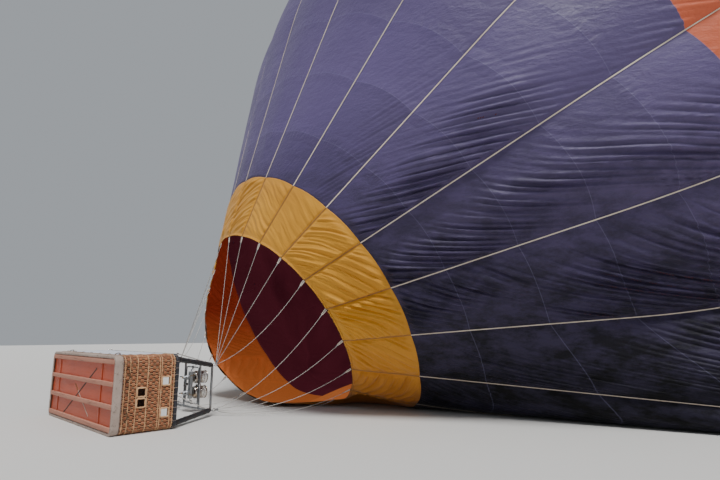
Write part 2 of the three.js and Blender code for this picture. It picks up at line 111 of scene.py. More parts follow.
# Pieces
def seatPiece(piece, materials, body, replaced):
    for material in materials:
        piece.data.materials.append(material)
    bpy.context.collection.objects.link(piece)
    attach(piece, body)
    if replaced:
        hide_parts(*replaced)
    return piece


def addPiece(name, shape, materials, body="balloon", replaced=(), smooth=True):
    mesh = bpy.data.meshes.new(name)
    shape.to_mesh(mesh)
    shape.free()
    mesh.polygons.foreach_set("use_smooth", [smooth] * len(mesh.polygons))
    return seatPiece(bpy.data.objects.new(name, mesh), materials, body, replaced)


def addTubes(name, routes, radius, material, body="balloon", replaced=(), closed=False,
             rounded=False, sides=8):
    curve = bpy.data.curves.new(name, "CURVE")
    curve.dimensions = "3D"
    curve.bevel_depth = radius
    curve.bevel_resolution = sides // 2 - 2
    curve.use_fill_caps = not closed
    curve.resolution_u = 6
    for route in routes:
        spline = curve.splines.new("BEZIER" if rounded else "POLY")
        points = spline.bezier_points if rounded else spline.points
        points.add(len(route) - 1)
        for point, place in zip(points, route):
            point.co = place if rounded else (*place, 1)
            if rounded:
                point.handle_left_type = point.handle_right_type = "AUTO"
        spline.use_cyclic_u = closed
    return seatPiece(bpy.data.objects.new(name, curve), [material], body, replaced)


def laidGrid(columns, rows, placeAt, uvSize=(1, 1), closed=False):
    # a grid whose points go where placeAt says, with u along the columns and v along the rows
    shape = bmesh.new()
    bmesh.ops.create_grid(shape, x_segments=columns, y_segments=rows, size=0.5)
    laid = {vert: (vert.co.x + 0.5, vert.co.y + 0.5) for vert in shape.verts}
    uv = shape.loops.layers.uv.new("UVMap")
    for face in shape.faces:
        for loop in face.loops:
            u, v = laid[loop.vert]
            loop[uv].uv = (u * uvSize[0], v * uvSize[1])
    for vert, (u, v) in laid.items():
        vert.co = placeAt(u, v)
    if closed:
        bmesh.ops.remove_doubles(shape, verts=shape.verts, dist=1e-5)
        bmesh.ops.holes_fill(shape, edges=shape.edges, sides=0)
    bmesh.ops.recalc_face_normals(shape, faces=shape.faces)
    return shape


def turned(profile, steps=40, ring=False):
    # turns a profile of (along X, distance from the axis) round X
    shape = bmesh.new()
    verts = [shape.verts.new((along, 0, out)) for along, out in profile]
    edges = [shape.edges.new(pair) for pair in zip(verts, verts[1:])]
    if ring:
        edges.append(shape.edges.new((verts[-1], verts[0])))
    bmesh.ops.spin(shape, geom=verts + edges, axis=(1, 0, 0), cent=(0, 0, 0), steps=steps, angle=fullTurn,
                   use_merge=True)
    bmesh.ops.remove_doubles(shape, verts=shape.verts, dist=1e-5)
    bmesh.ops.recalc_face_normals(shape, faces=shape.faces)
    return shape


def roundedBlock(low, high, bevel, segments=2):
    shape = bmesh.new()
    size = [b - a for a, b in zip(low, high)]
    middle = [(a + b) / 2 for a, b in zip(low, high)]
    bmesh.ops.create_cube(shape, size=1, matrix=Matrix.LocRotScale(middle, None, size))
    bmesh.ops.bevel(shape, geom=shape.edges[:], affect="EDGES", offset=bevel, segments=segments, profile=0.5,
                    material=-1)
    return shape


def thicken(piece, thickness, offset=-1, inner=0):
    # gives cloth, strap or sheet metal its thickness, inwards with an offset of -1 and outwards with 1
    solid = piece.modifiers.new("thickness", "SOLIDIFY")
    solid.thickness = thickness
    solid.offset = offset
    solid.material_offset = inner  # the inner face takes the material this many places on


def faceTowards(shape, face, direction):
    # turns the surface over where the given face of it looks away from the direction
    shape.normal_update()
    if face.normal.dot(direction) < 0:
        bmesh.ops.reverse_faces(shape, faces=shape.faces)


def circle(count):
    # cosine and sine of angles that are spaced evenly, once round
    return [(math.cos(k * fullTurn / count), math.sin(k * fullTurn / count)) for k in range(count)]


def smoothStep(value, low, high):
    t = min(1, max(0, (value - low) / (high - low)))
    return t * t * (3 - 2 * t)


def grain(x, y, z):
    return noise.noise(Vector((x, y, z)))


# Basket on its side: X runs from the runners to the rim, Y along the basket, Z up
basket = {
    "length": 3.35,
    "width": 1.25,
    "cornerRadius": 0.13,
    "wallInset": 0.0124,
    "wallTop": 1.03,
    "holes": ((0.46, 0.655), (0.46, 0.485), (0.87, 0.815), (0.87, 0.3)),  # step holes in each end
    "holeSize": 0.13,
}
outlineSides = [basket["length"] - 2 * basket["cornerRadius"],
                basket["width"] - 2 * basket["cornerRadius"]] * 2
outlineArc = basket["cornerRadius"] * fullTurn / 4
outlineLength = sum(outlineSides) + 4 * outlineArc


def outlinePoint(distance, inset=0.0, x=0.0):
    # walks round the outline from the near end of its lower side; returns a place and the outward direction
    radius = basket["cornerRadius"]
    y, z, turn = -outlineSides[0] / 2, 0.0, 0.0
    distance %= outlineLength
    for side in outlineSides:
        step = min(distance, side)
        y, z = y + math.cos(turn) * step, z + math.sin(turn) * step
        distance -= step
        if distance <= 1e-9:
            break
        swing = min(distance, outlineArc) / radius
        y -= radius * (math.sin(turn) - math.sin(turn + swing))
        z += radius * (math.cos(turn) - math.cos(turn + swing))
        distance -= swing * radius
        turn += swing
        if distance <= 1e-9:
            break
    outward = Vector((0, math.sin(turn), -math.cos(turn)))
    return basketOrigin + Vector((x, y, z)) - outward * inset, outward


def inBasket(x, y, z):
    return basketOrigin + Vector((x, y, z))


# Rope handles: short ropes whose ends go through the wicker
handles = {
    "diameter": 0.014,
    "near": (  # on the near end, as (from the underside, outwards from the wall, height)
        ((0.197, -0.004, 1.056), (0.205, 0.035, 1.045), (0.222, 0.06, 1.0), (0.232, 0.064, 0.944),
         (0.224, 0.06, 0.885), (0.206, 0.035, 0.845), (0.198, -0.004, 0.835)),
        ((0.185, -0.004, 0.42), (0.195, 0.035, 0.408), (0.22, 0.06, 0.365), (0.234, 0.064, 0.31),
         (0.224, 0.06, 0.25), (0.2, 0.035, 0.208), (0.19, -0.004, 0.195)),
    ),
    # on the upper long side: the first loop once more, turned about its middle height and made lower
    "along": (-1.25, 1.15),
    "turnedAbout": 0.945,
    "towardsFloor": 0.02,
    "flatten": 0.7,
}


def manilaRope():
    # laid hemp rope, dark with dirt: dull, with three strands that show as slanting ribs
    material, tree = newMaterial("manilaRope", Roughness=0.85)
    place = addNode(tree, "TexCoord", {}, "Object")
    tone = addNode(tree, "TexNoise", {"Vector": place, "Scale": 40, "Detail": 4}, "Fac")
    colour = addNode(tree, "Mix", {0: tone, 6: "#3A2A1E", 7: "#6B5138"}, 2, data_type="RGBA")
    strands = addNode(tree, "TexWave", {"Vector": place, "Scale": 28, "Distortion": 1}, "Fac",
                      bands_direction="DIAGONAL")
    linkShader(tree, Base_Color=colour, Normal=addNode(tree, "Bump", {"Height": strands, "Distance": 0.002}))
    return material


def makeHandles():
    rope = manilaRope()
    outer = basket["length"] / 2 - basket["wallInset"]
    routes = []
    for side in (-1, 1):
        routes += [[inBasket(x, side * (outer + out), z) for x, out, z in route] for route in handles["near"]]
    top = basket["width"] - basket["wallInset"]
    shift, about, flatten = handles["towardsFloor"], handles["turnedAbout"], handles["flatten"]
    for y in handles["along"]:
        shape = handles["near"][0]
        routes.append([inBasket(x - shift, y + z - about, top + flatten * out) for x, out, z in shape])
    for i, route in enumerate(routes):
        piece = addTubes(f"handle_{i + 1}", [route], handles["diameter"] / 2, rope, rounded=True, sides=10)
        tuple(route[0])


makeHandles()
print("rope handles made")


# Envelope, the same shape as the part's gores, in metres
envelope = {
    "apex": (2.081, -0.304, 1.21),
    "axisYaw": math.radians(-11.7),
    "axisSlope": math.radians(28.3),
    "coneHalfAngle": math.radians(48.3),
    "coneLength": 8.1,
    "domeRadius": 10.95,
    "goreCount": 20,
    "topTapeAngle": math.radians(87.4),
    "sideStretch": 1.03,
    "mouthLean": 0.45,
    "lip": 2.98,
    "bandSeam": 4.3,
    "ventEdge": 30.6,
    "crown": 33.29,
    "billow": 0.02,
    "mouthBillow": 0.3,  # share of the billow that is left at the lip, where the cloth is taut
    "groundBlend": 0.3,
    "spreadHeight": 2.8,
    "spreadShare": 0.7,
    "spreadRise": (3, 7),
    "spreadFall": (6, 15),
    "pullBack": 1.45,  # the mouth's low and far sides are drawn back towards the basket and a little aside
    "backRise": (8.7, 10.1),  # tapes over which the pull grows, and over which it goes
    "backFall": (12.1, 17.9),
    "pullAside": 0.4,
    "asideRise": (9.6, 11.1),
    "asideFall": (11.9, 19.8),
    "pullStations": (2.95, 5.4),
    "firstSeam": 5.35,  # level seams between panels, by their distance from the apex
    "seamPitch": 1.3,
    "stripeFrom": 10.55,  # salmon stripe, between two level seams
    "stripeTo": 18.35,
    "ventDrop": 0.045,
    "crownRing": 0.33,
}
goreCount = envelope["goreCount"]


def profileAt(station):
    e = envelope
    onCone = min(station, e["coneLength"])
    slope = e["coneHalfAngle"] - (station - onCone) / e["domeRadius"]
    sine, cosine = math.sin(e["coneHalfAngle"]), math.cos(e["coneHalfAngle"])
    along = onCone * cosine + e["domeRadius"] * (sine - math.sin(slope))
    radius = onCone * sine + e["domeRadius"] * (math.cos(slope) - cosine)
    return along, radius


def tapeAngle(tape):
    return envelope["topTapeAngle"] - tape * fullTurn / goreCount


def fromEnvelopeFrame(x, y, z):
    turnSine, turnCosine = math.sin(envelope["axisYaw"]), math.cos(envelope["axisYaw"])
    return inBasket(
        turnCosine * x - turnSine * y + envelope["apex"][0],
        turnSine * x + turnCosine * y + envelope["apex"][1],
        z,
    )


def clothPoint(station, tape, billow=None):
    e = envelope
    angle = tapeAngle(tape)
    along, radius = profileAt(station - e["mouthLean"] * math.sin(angle) * (1 - station / e["crown"]))
    across = tape - math.floor(tape)
    if billow is None:
        billow = e["billow"] * (e["mouthBillow"] + (1 - e["mouthBillow"]) * smoothStep(station, e["lip"], 9))
    radius *= 1 + billow * 4 * across * (1 - across)
    sine, cosine = math.sin(e["axisSlope"]), math.cos(e["axisSlope"])
    x = cosine * along - sine * radius * math.sin(angle)
    y = -radius * e["sideStretch"] * math.cos(angle)
    z = e["apex"][2] + sine * along + cosine * radius * math.sin(angle)
    blend = e["groundBlend"]
    if z < blend:  # sinking cloth settles flat on the ground
        z = 0 if z < -blend else (z + blend) ** 2 / (4 * blend)
    lowness = max(0, 1 - z / e["spreadHeight"])
    spread = smoothStep(x, *e["spreadRise"]) * (1 - smoothStep(x, *e["spreadFall"]))
    y *= 1 + e["spreadShare"] * spread * lowness ** 2
    pull = 1 - smoothStep(station, *e["pullStations"])
    x -= e["pullBack"] * pull * smoothStep(tape, *e["backRise"]) * (1 - smoothStep(tape, *e["backFall"]))
    y += e["pullAside"] * pull * smoothStep(tape, *e["asideRise"]) * (1 - smoothStep(tape, *e["asideFall"]))
    return fromEnvelopeFrame(x, y, z)


def clothNormal(station, tape):
    along = clothPoint(station + 0.02, tape, 0) - clothPoint(station - 0.02, tape, 0)
    around = clothPoint(station, tape + 0.004, 0) - clothPoint(station, tape - 0.004, 0)
    return around.cross(along).normalized()


# Cloth: thin sheets with their outer face on the CAD surface, meshed most finely where the folds are deep
cloth = {
    "thickness": 0.002,
    "groundGap": 0.006,  # of its outer face over the ground
    "fineGores": range(3, 7),  # the side with the deep folds, towards the camera
    "fairGores": range(1, 9),
    "fineMesh": (88, 380),
    "fairMesh": (50, 260),
    "plainMesh": (28, 124),
    "bandMesh": ((56, 96), (56, 96), (36, 44), (36, 44)),  # columns for each gore, and rows
    "ventColumns": 240,
    "ventRows": 26,
}


# Folds: the slack cloth hangs between two tapes, so its folds leave the upper tape and run down and outwards
# into the lower one; the lists go from the highest gore down to the lowest
folds = {
    "bandPitch": 0.09,  # between folds, along the tape
    "pitch": 0.09,
    "growth": 0.12,  # how fast the pitch grows with the distance from the band's seam
    # metres that a fold runs out for each metre that it falls, at its top and at its foot
    "bandReach": ((-0.5, -0.7), (-0.5, -0.7), (-0.3, -0.5), (0.8, 0.4), (1, 0.4),
                  (1.5, 0.7), (1.6, 1), (-0.5, -0.7), (-0.5, -0.7), (-0.5, -0.5)),
    "reach": ((1.3, 2.4), (1.3, 2.4), (1.1, 1.9), (1, 1.8), (0.7, 2.2),
              (0.8, 2.2), (1, 2.6), (1.2, 3), (2, 4), (2, 4)),
    "bandDepth": 0.075,
    "depth": 0.095,
    "bandStrength": (0.8, 0.4, 0.4, 0.9, 1.05, 1.25, 1.45, 1.3, 0.7, 0.4),
    "strength": (0.14, 0.14, 0.22, 0.95, 1.25, 1.05, 0.9, 0.7, 0.35, 0.2),
    # shares of a gore: what stays smooth at its upper tape, and where the folds die out at each tape
    "smoothTo": (0.3, 0.35, 0.4, 0.4, 0.35, 0.1, 0, 0, 0, 0),
    "lowerEdge": (0.05, 0.05, 0.05, 0.05, 0.05, 0.07, 0.15, 0.18, 0.15, 0.15),
    "upperEdge": 0.09,
    "fadeLength": (4, 5, 5, 7, 11, 15, 15, 12, 12, 12),
    "bandDrift": 1.1,  # how far the folds wander, in pitches
    "drift": 1.5,
    "headStart": 5,  # metres before the band's seam from which the pitch grows
    "crowding": 1.6,
    "crestShare": 0.45,  # shares of round crests, sharp ridges and fine creases in a fold's height
    "ridgeShare": 0.5,
    "bandFineShare": 0.22,
    "fineShare": 0.1,
    "patchMean": 0.75,  # some patches of cloth are slacker than others
    "patchSwing": 1.4,
    "patchRange": (0.15, 1.25),
    "bandEven": 0.55,  # share of the band's folds that is the same in every patch
    "least": 0.1,  # share that is left where they fade
    "leastAtSeams": 0.08,
    "depthGrowth": 0.07,  # deeper by this share for each metre beyond the band's seam
    "broadSwell": 0.02,
}
# Band cloth puffed up on the ground at the mouth, between two places round it in tapes
lobe = {"from": 8.05, "to": 9.6, "height": 0.45, "crest": 0.35}


def foldHeight(station, fall, gore):
    e, f = envelope, folds
    beyond = station - e["bandSeam"]
    inBand = beyond < 0
    row = min(gore, goreCount - 1 - gore)
    width = profileAt(station)[1] * fullTurn / goreCount
    top, foot = (f["bandReach"] if inBand else f["reach"])[row]
    start = beyond - width * (top * fall + (foot - top) * fall ** 2 / 2)
    drift = grain(station * 0.4, fall * 1.7, gore * 5.1)
    if inBand:
        phase = start / f["bandPitch"] + f["bandDrift"] * drift
    else:
        grown = math.log(1 + f["growth"] * max(start + f["headStart"], 0)) / (f["growth"] * f["pitch"])
        phase = grown * f["crowding"] + f["drift"] * drift
    crest = abs(math.sin(math.pi * phase * 0.5 + grain(phase * 0.31, gore * 3.3, fall)))
    ridge = max(0, 1 - 1.9 * abs(grain(phase * 0.8, fall * 1.1 + gore * 7.7, 3.1))) ** 1.5
    fine = max(0, 1 - 2 * abs(grain(phase * 1.9, fall * 1.6 + gore * 4.1, 8.3)))
    fineShare = f["bandFineShare"] if inBand else f["fineShare"]
    shape = f["crestShare"] * crest + f["ridgeShare"] * ridge + fineShare * fine
    least, most = f["patchRange"]
    slackness = f["patchMean"] + f["patchSwing"] * grain(station * 0.38 + 3, fall * 1.3, gore * 3.7)
    patch = min(most, max(least, slackness))
    edges = smoothStep(fall, 0, f["upperEdge"]) * smoothStep(1 - fall, 0, f["lowerEdge"][row])
    offSeams = smoothStep(station - e["lip"], 0.02, 0.2) * smoothStep(abs(beyond), 0.01, 0.16)
    edges *= f["leastAtSeams"] + (1 - f["leastAtSeams"]) * offSeams
    if inBand:
        patch = f["bandEven"] + (1 - f["bandEven"]) * patch
        return f["bandDepth"] * shape * patch * edges * f["bandStrength"][row]
    smooth = f["smoothTo"][row]
    lower = f["least"] + (1 - f["least"]) * smoothStep(fall, smooth - 0.15, smooth + 0.3)
    fade = f["least"] + (1 - f["least"]) * math.exp(-(beyond / f["fadeLength"][row]) ** 2)
    broad = f["broadSwell"] * grain(station * 0.5, fall * 2.5, gore * 2.3) * edges * min(1, beyond)
    depth = f["depth"] * (1 + f["depthGrowth"] * beyond) * f["strength"][row]
    return depth * shape * patch * lower * edges * fade + broad


def clothSurface(station, tape, lift=0.0):
    # the cloth's outer face with its folds; lift moves the place outwards from it
    gore = min(int(tape), goreCount - 1)
    fall = tape - gore
    inside = min(max(tape, gore + 0.0005), gore + 0.9995)
    place, outward = clothPoint(station, inside), clothNormal(station, inside)
    # the first gore's folds leave its lower tape, in chevrons with the next one's
    mirrored = gore == 0 or gore >= goreCount / 2
    height = foldHeight(station, 1 - fall if mirrored else fall, gore)
    free = 1 if outward.z > 0 else smoothStep(place.z, 0.02, 0.3)  # cloth that lies under the balloon is flat
    place = place + outward * (height * free + lift)
    spread = (tape - lobe["from"]) / (lobe["to"] - lobe["from"])
    if 0 < spread < 1 and station < envelope["bandSeam"]:
        share = (station - envelope["lip"]) / (envelope["bandSeam"] - envelope["lip"])
        hump = smoothStep(share, 0, lobe["crest"]) * (1 - smoothStep(share, lobe["crest"], 1))
        place.z += lobe["height"] * math.sin(math.pi * spread) ** 0.8 * hump
    place.z = max(place.z, cloth["groundGap"])
    return place


def clothPanel(name, first, last, columns, rows, stationAt, materials, replaced):
    def placeAt(u, v):
        return clothSurface(stationAt(v), first + (last - first) * u)
    shape = laidGrid(columns, rows, placeAt)
    uv = shape.loops.layers.uv.active
    for face in shape.faces:
        for loop in face.loops:
            u, v = loop[uv].uv
            loop[uv].uv = (first + (last - first) * u, stationAt(v))
    middle = shape.faces[len(shape.faces) // 2]
    tape, station = middle.loops[0][uv].uv
    faceTowards(shape, middle, clothNormal(station, tape))
    area = sum(face.calc_area() for face in shape.faces)
    piece = addPiece(name, shape, materials, replaced=replaced)
    thicken(piece, cloth["thickness"], inner=1)
    return piece, area


def ripstopNylon():
    # coated ripstop nylon: thin woven cloth, satin from its coating, with sewn level seams, puckers, soot and
    # painted shade low down
    material, tree = newMaterial("ripstopNylon", Sheen_Weight=0.05, Sheen_Roughness=0.4)
    uv = addNode(tree, "UVMap", {}, uv_map="UVMap")
    tape = addNode(tree, "SeparateXYZ", {0: uv}, 0)
    station = addNode(tree, "SeparateXYZ", {0: uv}, 1)
    place = addNode(tree, "TexCoord", {}, "Object")
    height = addNode(tree, "SeparateXYZ", {0: place}, 2)
    flatter = addNode(tree, "Mapping", {"Vector": place, "Scale": (1, 1, 2.2)})
    broad = addNode(tree, "TexNoise", {"Vector": place, "Scale": 0.35, "Detail": 4}, "Fac")
    blotches = addNode(tree, "TexNoise",
                       {"Vector": flatter, "Scale": 1.5, "Detail": 8, "Roughness": 0.74}, "Fac")
    purple = addNode(tree, "Mix", {0: broad, 6: "#4B3F6C", 7: "#675886"}, 2, data_type="RGBA")
    # painted shade, partly dirt: the colour darkens towards the ground, where less sky light reaches the
    # cloth
    lowness = addNode(tree, "MapRange", {0: height, 1: 6, 2: 0.6})
    dark = addNode(tree, "Math", {0: lowness, 1: 0.92}, operation="MULTIPLY")
    lower = addNode(tree, "Mix", {0: dark, 6: purple, 7: "#1C1B26"}, 2, data_type="RGBA")
    spots = addNode(tree, "MapRange", {0: blotches, 1: 0.42, 2: 0.6})
    soot = addNode(tree, "Math", {0: spots, 1: lowness}, operation="MULTIPLY")
    sooty = addNode(tree, "Mix", {0: soot, 6: lower, 7: "#07070B"}, 2, data_type="RGBA")
    salmon = addNode(tree, "Mix", {0: broad, 6: "#BC5230", 7: "#D4683E"}, 2, data_type="RGBA")
    e = envelope
    after = addNode(tree, "Math", {0: station, 1: e["stripeFrom"]}, operation="GREATER_THAN")
    before = addNode(tree, "Math", {0: station, 1: e["stripeTo"]}, operation="LESS_THAN")
    stripe = addNode(tree, "Math", {0: after, 1: before}, operation="MULTIPLY")
    striped = addNode(tree, "Mix", {0: stripe, 6: sooty, 7: salmon}, 2, data_type="RGBA")
    fromFirst = addNode(tree, "Math", {0: station, 1: e["firstSeam"]}, operation="SUBTRACT")
    fromSeam = addNode(tree, "Math", {0: fromFirst, 1: e["seamPitch"] / 2}, operation="PINGPONG")
    seam = addNode(tree, "MapRange", {0: fromSeam, 1: 0.004, 2: 0.009, 3: 0.22, 4: 0})
    stitched = addNode(tree, "Mix", {0: seam, 6: striped, 7: "#8480A4"}, 2, data_type="RGBA")
    counted = addNode(tree, "Math", {0: fromFirst, 1: e["seamPitch"]}, operation="DIVIDE")
    panelRow = addNode(tree, "Math", {0: counted}, operation="FLOOR")
    gore = addNode(tree, "Math", {0: tape}, operation="FLOOR")
    panel = addNode(tree, "CombineXYZ", {0: gore, 1: panelRow})
    tone = addNode(tree, "TexWhiteNoise", {"Vector": panel}, "Value")
    shade = addNode(tree, "MapRange", {0: tone, 3: 0.9, 4: 1.08})
    colour = addNode(tree, "HueSaturation", {"Color": stitched, "Value": shade})
    rough = addNode(tree, "MapRange", {0: blotches, 1: 0.3, 2: 0.7, 3: 0.38, 4: 0.6})
    shine = addNode(tree, "MapRange", {0: lowness, 3: 0.5, 4: 0.16})  # soot has dulled the coating low down
    # puckers where the seams gather the cloth, about 60 mm apart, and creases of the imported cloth
    stretched = addNode(tree, "Mapping", {"Vector": uv, "Scale": (16, 1.2, 1)})
    gathers = addNode(tree, "TexNoise", {"Vector": stretched, "Scale": 1.4, "Detail": 3}, "Fac")
    atSeam = addNode(tree, "MapRange", {0: fromSeam, 1: 0, 2: 0.2, 3: 1, 4: 0.08})
    pucker = addNode(tree, "Math", {0: gathers, 1: atSeam}, operation="MULTIPLY")
    creases = addNode(tree, "TexNoise",
                      {"Vector": flatter, "Scale": 3.6, "Detail": 8, "Roughness": 0.7}, "Fac")
    relief = addNode(tree, "Math", {0: pucker, 1: creases}, operation="ADD")
    linkShader(tree, Base_Color=colour, Roughness=rough, Specular_IOR_Level=shine,
               Normal=addNode(tree, "Bump", {"Height": relief, "Distance": 0.035, "Strength": 0.7}))
    return material


def nylonInside(name, first, second, roughness, paintedGlow=0.0):
    # inside of the coated cloth, dull, with faint creases; the glow is painted light, an emission for
    # daylight that comes through the thin cloth
    material, tree = newMaterial(name, Roughness=roughness, Emission_Strength=paintedGlow)
    place = addNode(tree, "TexCoord", {}, "Object")
    broad = addNode(tree, "TexNoise", {"Vector": place, "Scale": 0.5, "Detail": 4}, "Fac")
    colour = addNode(tree, "Mix", {0: broad, 6: first, 7: second}, 2, data_type="RGBA")
    upright = addNode(tree, "Mapping", {"Vector": place, "Scale": (1, 1, 0.4)})
    creases = addNode(tree, "TexNoise",
                      {"Vector": upright, "Scale": 2.5, "Detail": 4, "Roughness": 0.6}, "Fac")
    linkShader(tree, Base_Color=colour, Emission_Color=colour,
               Normal=addNode(tree, "Bump", {"Height": creases, "Distance": 0.05, "Strength": 0.6}))
    return material


def aramidBand():
    # aramid scoop cloth of the mouth band: matt ochre, dusty, stained along folds, warmer near the ground
    material, tree = newMaterial("aramidBand", Roughness=0.75, Sheen_Weight=0.1)
    place = addNode(tree, "TexCoord", {}, "Object")
    height = addNode(tree, "SeparateXYZ", {0: place}, 2)
    broad = addNode(tree, "TexNoise", {"Vector": place, "Scale": 1.2, "Detail": 5}, "Fac")
    ochre = addNode(tree, "Mix", {0: broad, 6: "#B87A16", 7: "#DA9C2A"}, 2, data_type="RGBA")
    low = addNode(tree, "MapRange", {0: height, 1: 1.6, 2: 0.2, 3: 0, 4: 0.6})
    warm = addNode(tree, "Mix", {0: low, 6: ochre, 7: "#AC5E26"}, 2, data_type="RGBA")
    spots = addNode(tree, "TexNoise", {"Vector": place, "Scale": 9, "Detail": 6, "Roughness": 0.7}, "Fac")
    stains = addNode(tree, "MapRange", {0: spots, 1: 0.64, 2: 0.74, 3: 0, 4: 0.5})
    colour = addNode(tree, "Mix", {0: stains, 6: warm, 7: "#70431A"}, 2, data_type="RGBA")
    weave = addNode(tree, "TexNoise", {"Vector": place, "Scale": 30, "Detail": 3}, "Fac")
    linkShader(tree, Base_Color=colour, Normal=addNode(tree, "Bump", {"Height": weave, "Distance": 0.004}))
    return material


def aramidInsideShadeAndGlow():
    # inside of the scoop cloth, in painted light: red-brown painted shade in the mouth, a painted orange glow
    # low down where daylight comes through
    material, tree = newMaterial("aramidInsideShadeAndGlow", Roughness=0.7, Emission_Strength=0.4)
    place = addNode(tree, "TexCoord", {}, "Object")
    height = addNode(tree, "SeparateXYZ", {0: place}, 2)
    broad = addNode(tree, "TexNoise", {"Vector": place, "Scale": 0.8, "Detail": 5}, "Fac")
    # red-brown painted shade, turning into orange painted light near the ground; the emission is a painted
    # glow
    shaded = addNode(tree, "Mix", {0: broad, 6: "#70200F", 7: "#96371D"}, 2, data_type="RGBA")
    low = addNode(tree, "MapRange", {0: height, 1: 2.2, 2: 0.3})
    colour = addNode(tree, "Mix", {0: low, 6: shaded, 7: "#C46E36"}, 2, data_type="RGBA")
    creases = addNode(tree, "TexNoise", {"Vector": place, "Scale": 4, "Detail": 6, "Roughness": 0.6}, "Fac")
    linkShader(tree, Base_Color=colour, Emission_Color=colour,
               Normal=addNode(tree, "Bump", {"Height": creases, "Distance": 0.05, "Strength": 0.6}))
    return material


outerNylon = ripstopNylon()
# the envelope's inside: dark maroon painted shade of the interior, with a painted glow for daylight through
# the cloth
innerNylonShadeAndGlow = nylonInside("innerNylonShadeAndGlow", "#2A0C13", "#4C1C26", 0.7, 0.85)
outerBand = aramidBand()
innerBand = aramidInsideShadeAndGlow()


def goreStation(share):
    span = envelope["ventEdge"] - envelope["bandSeam"]
    return envelope["bandSeam"] + span * (0.32 * share + 0.68 * share ** 3)  # finer rows near the mouth


def bandStation(share):
    return envelope["lip"] + (envelope["bandSeam"] - envelope["lip"]) * share


def makeGores():
    for i in range(goreCount):
        name = f"gore_{i + 1:02d}"
        columns, rows = cloth["fairMesh"] if i in cloth["fairGores"] else cloth["plainMesh"]
        if i in cloth["fineGores"]:
            columns, rows = cloth["fineMesh"]
        piece, area = clothPanel(f"cloth_{name}", i, i + 1, columns, rows, goreStation,
                                 [outerNylon, innerNylonShadeAndGlow], [name])


def makeBand():
    bandGores = goreCount // 4
    for i in range(4):
        name = f"mouth_band_{i + 1}"
        columns, rows = cloth["bandMesh"][i]
        piece, area = clothPanel(f"cloth_{name}", i * bandGores, (i + 1) * bandGores,
                                 bandGores * columns, rows, bandStation,
                                 [outerBand, innerBand], [name])


def makeVent():
    e = envelope
    low, high = e["ventEdge"] - 0.25, e["crown"] - 0.001

    def placeAt(u, v):
        station = low + (high - low) * v
        tape = u * goreCount
        gather = 0.02 * grain(math.cos(u * fullTurn) * 9, math.sin(u * fullTurn) * 9, v * 1.5) * (1 - v ** 4)
        return clothPoint(station, tape, 0) + clothNormal(station, tape) * (gather - e["ventDrop"])
    shape = laidGrid(cloth["ventColumns"], cloth["ventRows"], placeAt, (goreCount, 1))
    bmesh.ops.remove_doubles(shape, verts=shape.verts, dist=0.003)
    bmesh.ops.recalc_face_normals(shape, faces=shape.faces)
    shape.normal_update()
    if sum((face.normal for face in shape.faces), Vector()).dot(axisDirection()) < 0:
        bmesh.ops.reverse_faces(shape, faces=shape.faces)
    area = sum(face.calc_area() for face in shape.faces)
    piece = addPiece("cloth_vent_panel", shape, [ventNylon, innerNylonShadeAndGlow],
                     replaced=["vent_panel"])
    thicken(piece, cloth["thickness"], inner=1)


def axisDirection():
    e = envelope
    ahead = fromEnvelopeFrame(math.cos(e["axisSlope"]), 0, math.sin(e["axisSlope"]))
    return ahead - fromEnvelopeFrame(0, 0, 0)


ventNylon = nylonInside("ventNylon", "#39365A", "#4E4876", 0.45)
makeGores()
makeBand()
makeVent()
print("envelope cloth made")


# Load tapes from the lip to the crown ring, webbing loops and hems
tapes = {
    "width": 0.022,
    "thickness": 0.004,
    "lift": 0.004,  # off the folded cloth, where the tape's two edges lie on it
    "rows": 300,
    "hemWidth": 0.04,
    "ventHemWidth": 0.05,
    "hemLift": 0.001,
    "hemThickness": 0.005,
    "ringRadius": 0.019,  # of the crown ring's metal
    "loopLength": 0.13,
    "loopWidth": 0.035,
    "loopRadius": 0.008,
}


def loadWebbing(name, overBand):
    # polyester load tape: cream webbing with ribs across it; over the mouth band it takes the second colour
    material, tree = newMaterial(name, Roughness=0.8)
    uv = addNode(tree, "UVMap", {}, uv_map="UVMap")
    across = addNode(tree, "SeparateXYZ", {0: uv}, 0)
    station = addNode(tree, "SeparateXYZ", {0: uv}, 1)
    place = addNode(tree, "TexCoord", {}, "Object")
    dirt = addNode(tree, "TexNoise", {"Vector": place, "Scale": 2, "Detail": 5}, "Fac")
    height = addNode(tree, "SeparateXYZ", {0: place}, 2)
    low = addNode(tree, "MapRange", {0: height, 1: 4, 2: 0.3, 3: 0, 4: 0.45})
    cream = addNode(tree, "Mix", {0: dirt, 6: "#D8C4B0", 7: "#F2E6D8"}, 2, data_type="RGBA")
    dusty = addNode(tree, "Mix", {0: low, 6: cream, 7: "#8A7668"}, 2, data_type="RGBA")
    onBand = addNode(tree, "Math", {0: station, 1: envelope["bandSeam"]}, operation="LESS_THAN")
    colour = addNode(tree, "Mix", {0: onBand, 6: dusty, 7: overBand}, 2, data_type="RGBA")
    # ribs 20 mm apart, coarser than real
    turns = addNode(tree, "Math", {0: station, 1: 300}, operation="MULTIPLY")
    ribs = addNode(tree, "Math", {0: turns}, operation="SINE")
    edge = addNode(tree, "Math", {0: across, 1: 0.5}, operation="PINGPONG")
    stitch = addNode(tree, "MapRange", {0: edge, 1: 0.08, 2: 0.14, 3: 0.6, 4: 1})
    relief = addNode(tree, "Math", {0: ribs, 1: stitch}, operation="MULTIPLY")
    linkShader(tree, Base_Color=colour, Normal=addNode(tree, "Bump", {"Height": relief, "Distance": 0.001}))
    return material


webbing = loadWebbing("loadWebbing", "#A0723F")
loopWebbing = loadWebbing("loopWebbing", "#E2D6C8")


